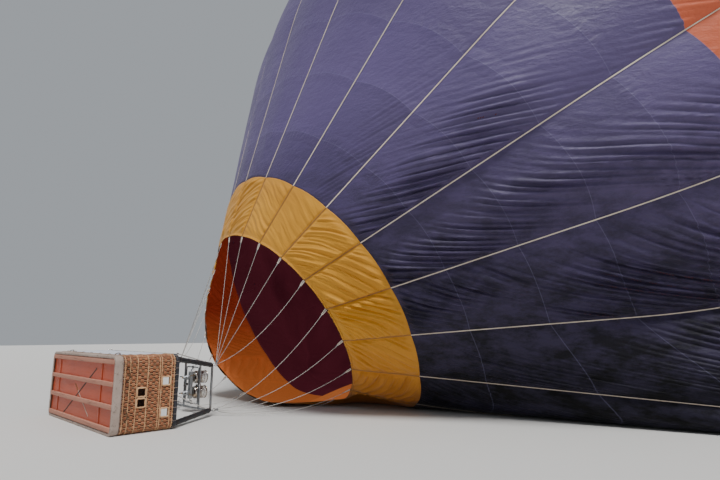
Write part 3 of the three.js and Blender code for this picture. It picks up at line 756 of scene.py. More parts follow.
def makeTapes():
    e, t = envelope, tapes
    last = e["crown"] - e["crownRing"]
    shares = [k / t["rows"] for k in range(t["rows"] + 1)]
    stations = [e["lip"] + (last - e["lip"]) * (0.45 * share + 0.55 * share ** 2) for share in shares]
    for i in range(goreCount):
        edges = []
        for station in stations:
            reach = t["width"] / 2 / (profileAt(station)[1] * fullTurn / goreCount)
            sides = [(i + side * reach) % goreCount for side in (-1, 1)]
            edges.append([clothSurface(station, tape, t["lift"]) for tape in sides])

        def placeAt(u, v):
            first, second = edges[round(v * t["rows"])]
            return first.lerp(second, u)
        shape = laidGrid(2, t["rows"], placeAt)
        uv = shape.loops.layers.uv.active
        for face in shape.faces:
            for loop in face.loops:
                loop[uv].uv = (loop[uv].uv.x, stations[round(loop[uv].uv.y * t["rows"])])
        faceTowards(shape, shape.faces[0], clothNormal(stations[0], i))
        piece = addPiece(f"load_tape_{i + 1:02d}", shape, [webbing])
        thicken(piece, t["thickness"], 1)


def hemAlong(name, station, width, material):
    def placeAt(u, v):
        return clothSurface(station + width * (v - 0.5), goreCount * u, tapes["hemLift"])
    shape = laidGrid(goreCount * 24, 2, placeAt, (goreCount * 10, 1), closed=True)
    faceTowards(shape, shape.faces[0], clothNormal(station, 0.02))
    piece = addPiece(name, shape, [material])
    thicken(piece, tapes["hemThickness"], 1)


def makeCrownRing():
    e = envelope
    middle = profileAt(e["crown"] - e["crownRing"])[0] + 0.018
    sine, cosine = math.sin(e["axisSlope"]), math.cos(e["axisSlope"])
    centre = fromEnvelopeFrame(cosine * middle, 0, e["apex"][2] + sine * middle)
    metal = tapes["ringRadius"]
    section = [(metal * across, e["crownRing"] + metal * out) for across, out in circle(16)]
    shape = turned(section, 80, ring=True)
    facing = Vector((1, 0, 0)).rotation_difference(axisDirection()).to_matrix()
    bmesh.ops.rotate(shape, verts=shape.verts, matrix=facing)
    bmesh.ops.translate(shape, verts=shape.verts, vec=centre)
    addPiece("crown_ring_metal", shape, [brushedAluminium], replaced=["crown_ring"])


def brushedMetal(name, colour, worn, roughness, scale, length):
    # drawn or turned metal: fine lines along one way, dull rubbed patches
    material, tree = newMaterial(name, Metallic=1.0)
    place = addNode(tree, "TexCoord", {}, "Object")
    drawn = addNode(tree, "Mapping", {"Vector": place, "Scale": length})
    lines = addNode(tree, "TexNoise", {"Vector": drawn, "Scale": scale, "Detail": 4, "Roughness": 0.6}, "Fac")
    rubbed = addNode(tree, "TexNoise", {"Vector": place, "Scale": 9, "Detail": 5}, "Fac")
    patches = addNode(tree, "MapRange", {0: rubbed, 1: 0.4, 2: 0.65})
    tint = addNode(tree, "Mix", {0: patches, 6: colour, 7: worn}, 2, data_type="RGBA")
    rough = addNode(tree, "MapRange", {0: lines, 1: 0.3, 2: 0.7, 3: roughness - 0.08, 4: roughness + 0.12})
    linkShader(tree, Base_Color=tint, Roughness=rough,
               Normal=addNode(tree, "Bump", {"Height": lines, "Distance": 0.0006, "Strength": 0.5}))
    return material


brushedAluminium = brushedMetal("brushedAluminium", "#D0D2D4", "#A8AAAC", 0.35, 60, (1, 0.1, 1))
makeTapes()
hemAlong("lip_hem", envelope["lip"] + 0.012, tapes["hemWidth"], outerBand)
hemAlong("vent_edge_hem", envelope["ventEdge"] - 0.02, tapes["ventHemWidth"], webbing)
makeCrownRing()
print("tapes, hems and crown ring made")


# Flying wires from the load frame's corners to the ends of the load tapes
wires = {
    "radius": 0.0055,
    "steps": 14,
    "corner": (2.3054, 0.785),  # from the underside, and from the middle to each side
    "heights": (0.99, 0.11, 0.11, 0.99),  # of the corners, one for each group of wires
    "lipGap": 0.009,  # between a wire's end and the lip
    "lipDepth": 0.005,  # of a wire's end, inwards from the cloth's face
    "taut": 0.004,
    "slack": 0.09,
    "slackBelow": math.radians(20),
    "clearance": 0.012,
    "ferruleRadius": 0.0095,
    "ferruleLength": 0.05,
    "cornerFerrule": (0.04, 0.1),  # its ends, from the corner
    "link": (0.034, 0.026),  # half length and half width of a corner link
    "linkMetal": 0.007,
}


def sleevedWire():
    # steel wire rope in a clear sleeve gone chalky: pale, slightly glossy, the strands showing as fine bands
    material, tree = newMaterial("sleevedWire", Metallic=0.3, Coat_Weight=0.3)
    place = addNode(tree, "TexCoord", {}, "Object")
    strands = addNode(tree, "TexWave", {"Vector": place, "Scale": 40, "Distortion": 0.5}, "Fac",
                      bands_direction="DIAGONAL")
    chalk = addNode(tree, "TexNoise", {"Vector": place, "Scale": 6, "Detail": 3}, "Fac")
    colour = addNode(tree, "Mix", {0: chalk, 6: "#A8A6A2", 7: "#DAD6CE"}, 2, data_type="RGBA")
    rough = addNode(tree, "MapRange", {0: chalk, 3: 0.35, 4: 0.6})
    linkShader(tree, Base_Color=colour, Roughness=rough,
               Normal=addNode(tree, "Bump", {"Height": strands, "Distance": 0.001}))
    return material


def wireRoute(corner, tape):
    w = wires
    lip = clothPoint(envelope["lip"], tape)
    ahead = (clothPoint(envelope["lip"] + 0.02, tape) - lip).normalized()
    end = lip - ahead * w["lipGap"] - clothNormal(envelope["lip"], tape) * w["lipDepth"]
    isSlack = math.sin(tapeAngle(tape)) < math.sin(w["slackBelow"])
    sag = (w["slack"] if isSlack else w["taut"]) * (end - corner).length
    route = []
    for k in range(w["steps"] + 1):
        t = k / w["steps"]
        point = corner.lerp(end, t)
        point.z = max(point.z - sag * 4 * t * (1 - t), min(point.z, w["clearance"]))
        route.append(point)
    return route


def loopRoute(end, toward, across):
    # a teardrop of folded webbing, its point at the wire's side
    length, width = tapes["loopLength"], tapes["loopWidth"]
    spots = ((0, 0.25), (0.3, 0.5), (0.62, 0.42), (1, 0.12),
             (1, -0.12), (0.62, -0.42), (0.3, -0.5), (0, -0.25))
    route = [end + toward * length * a + across * width * b for a, b in spots]
    return [Vector((p.x, p.y, max(p.z, 0.008))) for p in route]


def makeWires():
    w = wires
    sleeved = sleevedWire()
    bands = goreCount // 4
    for i in range(4):
        side = -1 if i < 2 else 1
        corner = inBasket(w["corner"][0], side * w["corner"][1], w["heights"][i])
        routes = [wireRoute(corner, i * bands + k) for k in range(bands)]
        name = f"flying_wires_{i + 1}"
        addTubes(f"rope_{name}", routes, w["radius"], sleeved, replaced=[name], sides=6)
        loops, swages = [], []
        for k, route in enumerate(routes):
            toward = (route[-3] - route[-1]).normalized()
            outward = clothNormal(envelope["lip"], i * bands + k)
            loops.append(loopRoute(route[-1], toward, toward.cross(outward).normalized()))
            start = route[-1] + toward * (tapes["loopLength"] + 0.005)
            swages.append([start, start + toward * w["ferruleLength"]])
            away = (route[1] - corner).normalized()
            swages.append([corner + away * end for end in w["cornerFerrule"]])
        addTubes(f"tape_loops_{i + 1}", loops, tapes["loopRadius"], loopWebbing,
                 closed=True, rounded=True, sides=6)
        addTubes(f"wire_ferrules_{i + 1}", swages, w["ferruleRadius"], brushedAluminium)
        long, wide = w["link"]
        ring = [corner + Vector((long * along, 0, wide * up)) for along, up in circle(10)]
        addTubes(f"corner_link_{i + 1}", [ring], w["linkMetal"], polishedSteel,
                 closed=True, rounded=True)


polishedSteel = brushedMetal("polishedSteel", "#C9CBCE", "#B4B0AA", 0.2, 40, (1, 1, 1))
makeWires()
print("flying wires made")


# Basket floor: painted board, runners, battens, straps and rawhide edge
floor = {
    "runnerHeights": (0.097, 0.445, 0.8, 1.153),
    "runner": (0.045, 0.075, 3.24),  # thickness, width, length
    "bolts": (-1.45, -0.5, 0.5, 1.45),
    # a bolt's profile as (from the underside, distance from its axis)
    "boltShape": ((0.0135, 0), (0.0015, 0), (0.0005, 0.006), (0.0015, 0.011),
                  (0.0035, 0.0135), (0.0035, 0.021), (0.006, 0.022), (0.0135, 0.022)),
    "battens": (-1.01, 1.25),
    "battenWidth": 0.06,
    # straps as (shade, one end, other end, width), with ends as (along the basket, height)
    "straps": (("dark", (0.851, 0.12), (-0.756, 1.018), 0.028),
               ("light", (0.285, 0.695), (-0.516, 0.195), 0.02)),
    "strapDepth": 0.002,
    # the rawhide's section as (from the underside, behind the outline)
    "hide": ((0.0185, 0.05), (0.012, 0.047), (0.009, 0.03), (0.0085, 0.012), (0.012, 0.002), (0.022, -0.002),
             (0.05, -0.003), (0.09, -0.002), (0.125, -0.002), (0.138, 0.001), (0.142, 0.008)),
    "hideThickness": 0.004,
    "stitches": 150,  # of the lacing round the rawhide's upper edge
}


def paintedPlywood():
    # marine plywood under orange-red paint: scuffed lengthwise, worn to wood at the edges, mud low down
    material, tree = newMaterial("paintedPlywood", Coat_Weight=0.1, Coat_Roughness=0.4)
    place = addNode(tree, "TexCoord", {}, "Object")
    height = addNode(tree, "SeparateXYZ", {0: place}, 2)
    broad = addNode(tree, "TexNoise", {"Vector": place, "Scale": 2.2, "Detail": 5}, "Fac")
    paint = addNode(tree, "Mix", {0: broad, 6: "#A03714", 7: "#C44E20"}, 2, data_type="RGBA")
    along = addNode(tree, "Mapping", {"Vector": place, "Scale": (1, 1.2, 16)})
    streaks = addNode(tree, "TexNoise", {"Vector": along, "Scale": 3, "Detail": 6, "Roughness": 0.7}, "Fac")
    scuffs = addNode(tree, "MapRange", {0: streaks, 1: 0.55, 2: 0.72, 3: 0, 4: 0.55})
    scuffed = addNode(tree, "Mix", {0: scuffs, 6: paint, 7: "#B06B45"}, 2, data_type="RGBA")
    low = addNode(tree, "MapRange", {0: height, 1: 0.5, 2: 0.0, 3: 0, 4: 0.45})
    mud = addNode(tree, "Math", {0: low, 1: broad}, operation="MULTIPLY")
    colour = addNode(tree, "Mix", {0: mud, 6: scuffed, 7: "#6E4A34"}, 2, data_type="RGBA")
    rough = addNode(tree, "MapRange", {0: scuffs, 2: 0.5, 3: 0.5, 4: 0.8})
    linkShader(tree, Base_Color=colour, Roughness=rough,
               Normal=addNode(tree, "Bump", {"Height": streaks, "Distance": 0.0015}))
    return material


def weatheredTimber():
    # softwood runners worn pinkish grey: grain along Y, dark cracks, paler rubbed edges
    material, tree = newMaterial("weatheredTimber", Roughness=0.85)
    place = addNode(tree, "TexCoord", {}, "Object")
    along = addNode(tree, "Mapping", {"Vector": place, "Scale": (26, 1, 26)})
    growth = addNode(tree, "TexNoise", {"Vector": along, "Scale": 2.2, "Detail": 6, "Roughness": 0.6}, "Fac")
    patch = addNode(tree, "TexNoise", {"Vector": place, "Scale": 5, "Detail": 4}, "Fac")
    wood = addNode(tree, "Mix", {0: growth, 6: "#8E5644", 7: "#CE927C"}, 2, data_type="RGBA")
    colour = addNode(tree, "Mix", {0: patch, 6: wood, 7: "#B0806C"}, 2, data_type="RGBA")
    cracks = addNode(tree, "MapRange", {0: growth, 1: 0.32, 2: 0.4, 3: 0.7, 4: 0})
    cracked = addNode(tree, "Mix", {0: cracks, 6: colour, 7: "#4A342B"}, 2, data_type="RGBA")
    linkShader(tree, Base_Color=cracked, Normal=addNode(tree, "Bump", {"Height": growth, "Distance": 0.003}))
    return material


def driedRawhide():
    # rawhide bound on wet and dried hard: grey-tan, mottled, lumpy, with dark scuffs
    material, tree = newMaterial("driedRawhide", Roughness=0.8)
    place = addNode(tree, "TexCoord", {}, "Object")
    mottles = addNode(tree, "TexNoise", {"Vector": place, "Scale": 14, "Detail": 7, "Roughness": 0.68}, "Fac")
    broad = addNode(tree, "TexNoise", {"Vector": place, "Scale": 3, "Detail": 3}, "Fac")
    hide = addNode(tree, "Mix", {0: broad, 6: "#8E7C70", 7: "#BBA99E"}, 2, data_type="RGBA")
    scuffs = addNode(tree, "MapRange", {0: mottles, 1: 0.44, 2: 0.36, 3: 0, 4: 0.7})
    colour = addNode(tree, "Mix", {0: scuffs, 6: hide, 7: "#5E5248"}, 2, data_type="RGBA")
    linkShader(tree, Base_Color=colour, Normal=addNode(tree, "Bump", {"Height": mottles, "Distance": 0.004}))
    return material


def dustyStrap():
    # dark polyester strap: matt, with brown dust in its weave
    material, tree = newMaterial("strapWebbing", Roughness=0.85)
    place = addNode(tree, "TexCoord", {}, "Object")
    dust = addNode(tree, "TexNoise", {"Vector": place, "Scale": 12, "Detail": 5}, "Fac")
    colour = addNode(tree, "Mix", {0: dust, 6: "#3A2E2C", 7: "#6A5246"}, 2, data_type="RGBA")
    linkShader(tree, Base_Color=colour, Normal=addNode(tree, "Bump", {"Height": dust, "Distance": 0.002}))
    return material


def dressNode(node, material):
    # a CAD node keeps its shape and takes a better material
    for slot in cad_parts[node].material_slots:
        slot.material = material


plywood = paintedPlywood()
timber = weatheredTimber()
rawhide = driedRawhide()


def makeRunners():
    thickness, width, length = floor["runner"]
    for i, height in enumerate(floor["runnerHeights"]):
        low = inBasket(0, -length / 2, height - width / 2)
        high = inBasket(thickness, length / 2, height + width / 2)
        shape = roundedBlock(low, high, 0.008, 3)
        bmesh.ops.subdivide_edges(shape, edges=[e for e in shape.edges if e.calc_length() > 1], cuts=60)
        for vert in shape.verts:
            y, z = vert.co.y, vert.co.z
            wear = 0.0025 * grain(y * 2.5, z * 30, i * 9.1) - 0.001
            vert.co += Vector((abs(wear), 0, 0)) if vert.co.x < basketOrigin.x + 0.02 else Vector()
        addPiece(f"timber_runner_{i + 1}", shape, [timber],
                 replaced=[f"runner_{i + 1}"])
        for k, y in enumerate(floor["bolts"]):
            bolt = turned(floor["boltShape"], 20)
            bmesh.ops.translate(bolt, verts=bolt.verts, vec=inBasket(0.001, y, height))
            addPiece(f"runner_bolt_{i + 1}_{k + 1}", bolt, [polishedSteel])


def makeBattens():
    edges = [0.03, *floor["runnerHeights"], basket["width"] - 0.03]
    half = floor["runner"][1] / 2
    count = 0
    for y in floor["battens"]:
        for a, b in zip(edges, edges[1:]):
            count += 1
            low, high = a + (half if a != edges[0] else 0), b - (half if b != edges[-1] else 0)
            shape = roundedBlock(inBasket(0.034, y - floor["battenWidth"] / 2, low + 0.002),
                                 inBasket(0.0452, y + floor["battenWidth"] / 2, high - 0.002), 0.003)
            addPiece(f"floor_batten_{count}", shape, [plywood])


def strapBetween(name, start, end, width, depth, material):
    # a flat strap on the board's underside; (Y, Z) places
    start, end = Vector((0, *start)), Vector((0, *end))
    side = (end - start).cross(Vector((1, 0, 0))).normalized() * width / 2

    def placeAt(u, v):
        place = start.lerp(end, v) + side * (2 * u - 1)
        return inBasket(0.0445 - 0.0015 * abs(grain(v * 9, 2.3, width * 40)), place.y, place.z)
    shape = laidGrid(2, 60, placeAt, (1, 20))
    faceTowards(shape, shape.faces[0], Vector((-1, 0, 0)))
    thicken(addPiece(name, shape, [material]), depth, 1)


def makeRawhide():
    # the edge is bound round the wall's foot and turned under the floor
    section = floor["hide"]
    last = len(section) - 1

    def placeAt(u, v):
        x, inset = section[round(v * last)]
        lump = 0.0035 * grain(u * 90, x * 18, 4.4) + 0.0012 * grain(u * 420, x * 60, 1.7)
        place, outward = outlinePoint(u * outlineLength, inset, x)
        curl = 0.004 * grain(u * 130, 0.7, 9.1) * smoothStep(x, 0.1, 0.14)
        place = place + outward * lump + Vector((curl, 0, 0))
        place.z = max(place.z, 0.001)
        return place
    shape = laidGrid(520, last, placeAt, (90, 1))
    bmesh.ops.remove_doubles(shape, verts=shape.verts, dist=1e-5)
    bmesh.ops.recalc_face_normals(shape, faces=shape.faces)
    nearest = min(shape.faces, key=lambda face: face.calc_center_median().y)
    faceTowards(shape, nearest, Vector((0, -1, 0)))
    piece = addPiece("rawhide_edge", shape, [rawhide], replaced=["base_band"])
    thicken(piece, floor["hideThickness"])
    stitches = floor["stitches"]
    route = []
    for k in range(2 * stitches):
        place, _ = outlinePoint(k * outlineLength / (2 * stitches), -0.004, 0.128 if k % 2 else 0.152)
        route.append(Vector((place.x, place.y, max(place.z, 0.003))))
    addTubes("rawhide_lacing", [route], 0.0028, rawhide, closed=True, sides=6)


dressNode("floor_board", plywood)
makeRunners()
makeBattens()
strapWebbing = dustyStrap()
for (shade, start, end, width), strapCloth in zip(floor["straps"], (strapWebbing, webbing)):
    strapBetween(f"floor_strap_{shade}", start, end, width, floor["strapDepth"], strapCloth)
makeRawhide()
print("basket floor made")


# Wicker walls: the part's walls are the woven core, painted dark as the shade in the gaps, and these canes
# are its outside
wicker = {
    "stakes": 172,
    "rows": 18,
    "firstRow": 0.172,
    "rowPitch": 0.048,
    "canesPerRow": 4,
    "canePitch": 0.0114,
    "caneRadius": 0.0058,
    "corePitch": 0.0522,  # between the stakes that show in the core
    "depth": 0.0135,  # of a cane's middle behind the outline
    "weave": 0.0115,  # how far it swings in and out, so that every second stretch lies behind its stake
    "hoops": (0.17, 0.25, 0.372, 0.548, 0.75, 0.784, 0.956, 1.005),
    "hoopRadius": 0.0072,
    "stakeRadius": 0.005,
    "stakeInset": 0.0105,
    "stakesFrom": 0.15,
    "frameRadius": 0.013,
    "frameShape": ((-1, -0.8), (-1, 0), (-1, 0.8), (-0.8, 1), (0, 1), (0.8, 1),
                   (1, 0.8), (1, 0), (1, -0.8), (0.8, -1), (0, -1), (-0.8, -1)),
}


def caneMaterial(name, dark, light, stain):
    # peeled rattan under yellowed varnish: satin, each cane its own tan, brown in the joints
    material, tree = newMaterial(name, Coat_Weight=0.25, Coat_Roughness=0.35)
    place = addNode(tree, "TexCoord", {}, "Object")
    patches = addNode(tree, "TexNoise", {"Vector": place, "Scale": 11, "Detail": 5, "Roughness": 0.7}, "Fac")
    shade = addNode(tree, "MapRange", {0: patches, 1: 0.3, 2: 0.7})
    colour = addNode(tree, "Mix", {0: shade, 6: dark, 7: light}, 2, data_type="RGBA")
    broad = addNode(tree, "TexNoise", {"Vector": place, "Scale": 2.4, "Detail": 3}, "Fac")
    worn = addNode(tree, "MapRange", {0: broad, 1: 0.45, 2: 0.7, 3: 0, 4: 0.5})
    stained = addNode(tree, "Mix", {0: worn, 6: colour, 7: stain}, 2, data_type="RGBA")
    fibres = addNode(tree, "TexNoise", {"Vector": place, "Scale": 120, "Detail": 2}, "Fac")
    rough = addNode(tree, "MapRange", {0: patches, 3: 0.42, 4: 0.65})
    linkShader(tree, Base_Color=stained, Roughness=rough,
               Normal=addNode(tree, "Bump", {"Height": fibres, "Distance": 0.001}))
    return material


def shadedWovenCore():
    # the weave seen from inside and through gaps: brown, four canes to a row, in and out at every stake; its
    # darkness is painted shade, deepest in the grooves and where a cane passes behind a stake
    material, tree = newMaterial("shadedWovenCore", Roughness=0.75)
    place = addNode(tree, "TexCoord", {}, "Object")
    x = addNode(tree, "SeparateXYZ", {0: place}, 0)
    y = addNode(tree, "SeparateXYZ", {0: place}, 1)
    z = addNode(tree, "SeparateXYZ", {0: place}, 2)
    around = addNode(tree, "Math", {0: y, 1: z}, operation="ADD")
    pitch = wicker["rowPitch"]
    rows = addNode(tree, "Math", {0: x, 1: pitch}, operation="DIVIDE")
    row = addNode(tree, "Math", {0: rows}, operation="FLOOR")
    stakes = addNode(tree, "Math", {0: around, 1: wicker["corePitch"]}, operation="DIVIDE")
    offset = addNode(tree, "Math", {0: stakes, 1: row}, operation="ADD")
    turns = addNode(tree, "Math", {0: offset, 1: math.pi}, operation="MULTIPLY")
    swing = addNode(tree, "Math", {0: turns}, operation="SINE")
    canes = addNode(tree, "Math", {0: rows, 1: wicker["canesPerRow"] * math.pi}, operation="MULTIPLY")
    cane = addNode(tree, "Math", {0: canes}, operation="SINE")
    ridge = addNode(tree, "Math", {0: cane}, operation="ABSOLUTE")
    swung = addNode(tree, "MapRange", {0: swing, 1: -1, 2: 1, 3: 0.15, 4: 1})
    height = addNode(tree, "Math", {0: ridge, 1: swung}, operation="MULTIPLY")
    # painted shade: darker in the grooves between canes and where a cane goes behind its stake
    colour = addNode(tree, "Mix", {0: height, 6: "#1C0D08", 7: "#6A3E26"}, 2, data_type="RGBA")
    linkShader(tree, Base_Color=colour, Normal=addNode(tree, "Bump", {"Height": height, "Distance": 0.008}))
    return material


endMiddles = (  # distances round the outline at the middle of the far end and of the near end
    outlineSides[0] + outlineArc + outlineSides[1] / 2,
    outlineLength - outlineArc - outlineSides[1] / 2,
)


def caneRuns(x, margin):
    # the stretches of one turn round the basket that aren't cut by a step hole, as pairs of distances
    cuts = []
    for place, height in basket["holes"]:
        if abs(x - place) < basket["holeSize"] / 2 + margin:
            fromMiddle = height - basket["width"] / 2
            for middle, way in zip(endMiddles, (1, -1)):
                centre = middle + way * fromMiddle
                cuts.append((centre - basket["holeSize"] / 2 - margin,
                             centre + basket["holeSize"] / 2 + margin))
    if not cuts:
        return [(0, outlineLength)], True
    cuts.sort()
    runs = [(a[1], b[0]) for a, b in zip(cuts, cuts[1:])]
    runs.append((cuts[-1][1], cuts[0][0] + outlineLength))
    return [run for run in runs if run[1] - run[0] > 0.03], False


def onOutline(distance, inset, x, floorGap=0.0065):
    place, _ = outlinePoint(distance, inset, x)
    place.z = max(place.z, floorGap)
    return place


def makeCanes():
    w = wicker
    pitch = outlineLength / w["stakes"]
    canes = caneMaterial("rattanCane", "#864A2E", "#CA8A5E", "#66321E")
    closed, opened = [[], []], [[], []]
    for row in range(w["rows"]):
        for cane in range(w["canesPerRow"]):
            x = w["firstRow"] + row * w["rowPitch"] + (cane - 1.5) * w["canePitch"]
            runs, whole = caneRuns(x, w["caneRadius"])
            for first, last in runs:
                steps = max(2, round((last - first) / pitch * 4))
                route = []
                for k in range(steps if whole else steps + 1):
                    distance = first + (last - first) * k / steps
                    swing = math.sin(math.pi * (distance / pitch + row))
                    sag = 0.0012 * grain(distance * 3, row * 2.7 + cane, 5.5)
                    route.append(onOutline(distance, w["depth"] - w["weave"] * swing, x + sag))
                (closed if whole else opened)[row % 2].append(route)
    for half in (0, 1):
        addTubes(f"wicker_canes_{half + 1}", closed[half], w["caneRadius"], canes,
                 closed=True, sides=4)
        addTubes(f"wicker_cut_canes_{half + 1}", opened[half], w["caneRadius"], canes, sides=4)
    hoops, cutHoops = [], []
    for x in w["hoops"]:
        runs, whole = caneRuns(x, w["hoopRadius"])
        for first, last in runs:
            steps = round((last - first) / 0.03)
            route = []
            for k in range(steps if whole else steps + 1):
                inset = -0.001 - 0.002 * grain(k * 0.2, x * 50, 1)
                route.append(onOutline(first + (last - first) * k / steps, inset, x, 0.0078))
            (hoops if whole else cutHoops).append(route)
    addTubes("wicker_hoops", hoops, w["hoopRadius"], paleCane, closed=True)
    if cutHoops:
        addTubes("wicker_cut_hoops", cutHoops, w["hoopRadius"], paleCane)
    stakes = []
    for k in range(w["stakes"]):
        distance = (k + 0.5) * pitch
        for first, last in stakeRuns(distance):
            stakes.append([onOutline(distance, w["stakeInset"], x) for x in (first, last)])
    addTubes("wicker_stakes", stakes, w["stakeRadius"], paleCane, sides=6)
    half = basket["holeSize"] / 2 + 0.004
    frames = []
    for side in (-1, 1):
        y = side * (basket["length"] / 2 - 0.002)
        for x, z in basket["holes"]:
            frames.append([inBasket(x + a * half, y, z + b * half) for a, b in w["frameShape"]])
    addTubes("step_hole_frames", frames, w["frameRadius"], paleCane, closed=True, rounded=True)


def stakeRuns(distance):
    low, high = wicker["stakesFrom"], basket["wallTop"]
    for middle, way in zip(endMiddles, (1, -1)):
        height = (distance - middle) * way + basket["width"] / 2
        if abs(distance - middle) < outlineSides[1] / 2:
            for x, z in sorted(basket["holes"]):
                if abs(height - z) < basket["holeSize"] / 2:
                    return [(low, x - basket["holeSize"] / 2), (x + basket["holeSize"] / 2, high)]
    return [(low, high)]


shadedCore = shadedWovenCore()
paleCane = caneMaterial("paleRattan", "#BC8A5E", "#DDB78C", "#9A6440")
for node in ("end_near", "end_far", "side_lower", "side_upper"):
    dressNode(f"wicker_{node}", shadedCore)
for node in ("partition_1", "partition_2"):
    dressNode(node, shadedCore)
makeCanes()
print("wicker made")


# Rim and uprights: leather padded over foam
padding = {
    "rimBottom": 1.0304,
    "rimTop": 1.1,
    "rimWidth": 0.085,
    "lacingPitch": 0.11,
    "lace": ((0.99, -0.002), (1.02, -0.009), (1.04, -0.011), (1.065, -0.009), (1.085, -0.004)),
    "laceRadius": 0.003,
    "uprightRadius": 0.045,
    "uprightFoot": (1.04, 1.59, (0.075, 1.175)),  # from the underside, to each side, the two heights
    "uprightHead": (2.26, 0.775, (0.12, 0.98)),
    "uprightFrom": 1.1,
    "uprightTo": 2.1996,
    "endShare": 0.06,  # of an upright's rows that close each end
    "ties": (0.06, 0.3, 0.54, 0.78, 0.95),
    "tieRadius": 0.0035,
    "tieReach": 0.0465,  # from the upright's middle
}


def paddedHide(name, dark, light, roughness):
    # suede-faced hide over foam: dark, rubbed paler on the crests, pebbled grain
    material, tree = newMaterial(name, Sheen_Weight=0.08, Sheen_Roughness=0.5)
    place = addNode(tree, "TexCoord", {}, "Object")
    rubbed = addNode(tree, "TexNoise", {"Vector": place, "Scale": 7, "Detail": 6, "Roughness": 0.65}, "Fac")
    shade = addNode(tree, "MapRange", {0: rubbed, 1: 0.35, 2: 0.7})
    colour = addNode(tree, "Mix", {0: shade, 6: dark, 7: light}, 2, data_type="RGBA")
    # grain 6 mm, coarser than real
    pebbles = addNode(tree, "TexVoronoi", {"Vector": place, "Scale": 160}, "Distance")
    rough = addNode(tree, "MapRange", {0: rubbed, 3: roughness - 0.1, 4: roughness + 0.12})
    linkShader(tree, Base_Color=colour, Roughness=rough,
               Normal=addNode(tree, "Bump", {"Height": pebbles, "Distance": 0.0012, "Strength": 0.6}))
    return material


hide = paddedHide("paddedHide", "#121217", "#2C2C35", 0.55)
sleeveHide = paddedHide("sleeveHide", "#0B0B0E", "#202026", 0.6)


def makeRim():
    p = padding
    middle = ((p["rimBottom"] + p["rimTop"]) / 2, p["rimWidth"] / 2)
    half = ((p["rimTop"] - p["rimBottom"]) / 2 + 0.003, p["rimWidth"] / 2 + 0.004)
    tucks = round(outlineLength / p["lacingPitch"])

    def placeAt(u, v):
        angle = v * fullTurn
        tuck = abs(math.sin(math.pi * u * tucks)) ** 0.35
        swell = (0.93 + 0.07 * tuck) * (1 + 0.03 * grain(u * 70, math.cos(angle), math.sin(angle)))
        across, up = math.cos(angle), math.sin(angle)
        x = middle[0] + half[0] * swell * math.copysign(abs(up) ** 0.75, up)
        inset = middle[1] - half[1] * swell * math.copysign(abs(across) ** 0.75, across)
        place, _ = outlinePoint(u * outlineLength, inset, x)
        place.z = max(place.z, 0.001)
        return place
    shape = laidGrid(640, 20, placeAt, (90, 3), closed=True)
    piece = addPiece("padded_rim", shape, [hide], replaced=["rim_bolster"])
    laces = []
    for k in range(tucks):
        distance = k * outlineLength / tucks
        laces.append([onOutline(distance, inset, x) for x, inset in p["lace"]])
    addTubes("rim_lacing", laces, p["laceRadius"], rawhide, rounded=True, sides=6)


def makeUprights():
    p = padding
    count = 0
    for side in (-1, 1):
        for upper in (0, 1):
            count += 1
            foot = inBasket(p["uprightFoot"][0], side * p["uprightFoot"][1], p["uprightFoot"][2][upper])
            head = inBasket(p["uprightHead"][0], side * p["uprightHead"][1], p["uprightHead"][2][upper])
            along = (head - foot).normalized()
            start = foot + along * ((basketOrigin.x + p["uprightFrom"] + 0.004 - foot.x) / along.x)
            end = foot + along * ((basketOrigin.x + p["uprightTo"] - 0.004 - foot.x) / along.x)
            first = along.orthogonal().normalized()
            second = along.cross(first)

            def placeAt(u, v):
                angle, closing = u * fullTurn, p["endShare"]
                neck = min(1, max(0, (v - closing) / (1 - 2 * closing)))
                cap = min(1, v / closing, (1 - v) / closing)
                wrinkle = 0.05 * grain(neck * 14, math.cos(angle) * 1.5, math.sin(angle) * 1.5 + count)
                gather = 1 - 0.12 * (math.exp(-(neck / 0.03) ** 2) + math.exp(-((1 - neck) / 0.03) ** 2))
                seam = 1 - 0.06 * math.exp(-((u - 0.5) / 0.02) ** 2)
                radius = (p["uprightRadius"] - 0.001) * (1 + wrinkle) * gather * seam * max(0, cap) ** 0.5
                place = start.lerp(end, neck) + (first * math.cos(angle) + second * math.sin(angle)) * radius
                place.z = max(place.z, 0.001)
                return place
            shape = laidGrid(28, 100, placeAt, (1, 6), closed=True)
            piece = addPiece(f"padded_upright_{count}", shape, [sleeveHide],
                             replaced=[f"upright_{count}"])
            ties = []
            for share in p["ties"]:
                middle = start.lerp(end, share)
                ties.append([middle + (first * a + second * b) * p["tieReach"] for a, b in circle(16)])
            addTubes(f"upright_ties_{count}", ties, p["tieRadius"], strapWebbing,
                     closed=True, sides=6)


# White rods between the rim and the load frame, beside the uprights
rods = {
    "radius": 0.009,
    "routes": (((1.09, 1.56, 1.262), (2.205, 0.64, 1.03)), ((1.09, 1.6, 0.56), (2.2, 0.74, 0.115))),
}


def makeRods():
    # glass-fibre rods in white sleeves: satin, grubby in patches
    material, tree = newMaterial("whiteRod", Coat_Weight=0.2)
    place = addNode(tree, "TexCoord", {}, "Object")
    grime = addNode(tree, "TexNoise", {"Vector": place, "Scale": 14, "Detail": 4}, "Fac")
    shade = addNode(tree, "MapRange", {0: grime, 1: 0.45, 2: 0.75})
    colour = addNode(tree, "Mix", {0: shade, 6: "#ECE9E4", 7: "#B0AAA2"}, 2, data_type="RGBA")
    rough = addNode(tree, "MapRange", {0: grime, 3: 0.35, 4: 0.6})
    linkShader(tree, Base_Color=colour, Roughness=rough,
               Normal=addNode(tree, "Bump", {"Height": grime, "Distance": 0.001}))
    for side in (-1, 1):
        routes = [[inBasket(x, side * y, z) for x, y, z in route] for route in rods["routes"]]
        name = "near" if side < 0 else "far"
        addTubes(f"white_rods_{name}", routes, rods["radius"], material, sides=12)
        ends = []
        for start, end in routes:
            along = (end - start).normalized()
            ends += [[start, start + along * 0.05], [end - along * 0.05, end]]
        addTubes(f"rod_ends_{name}", ends, 0.0125, polishedSteel, sides=12)


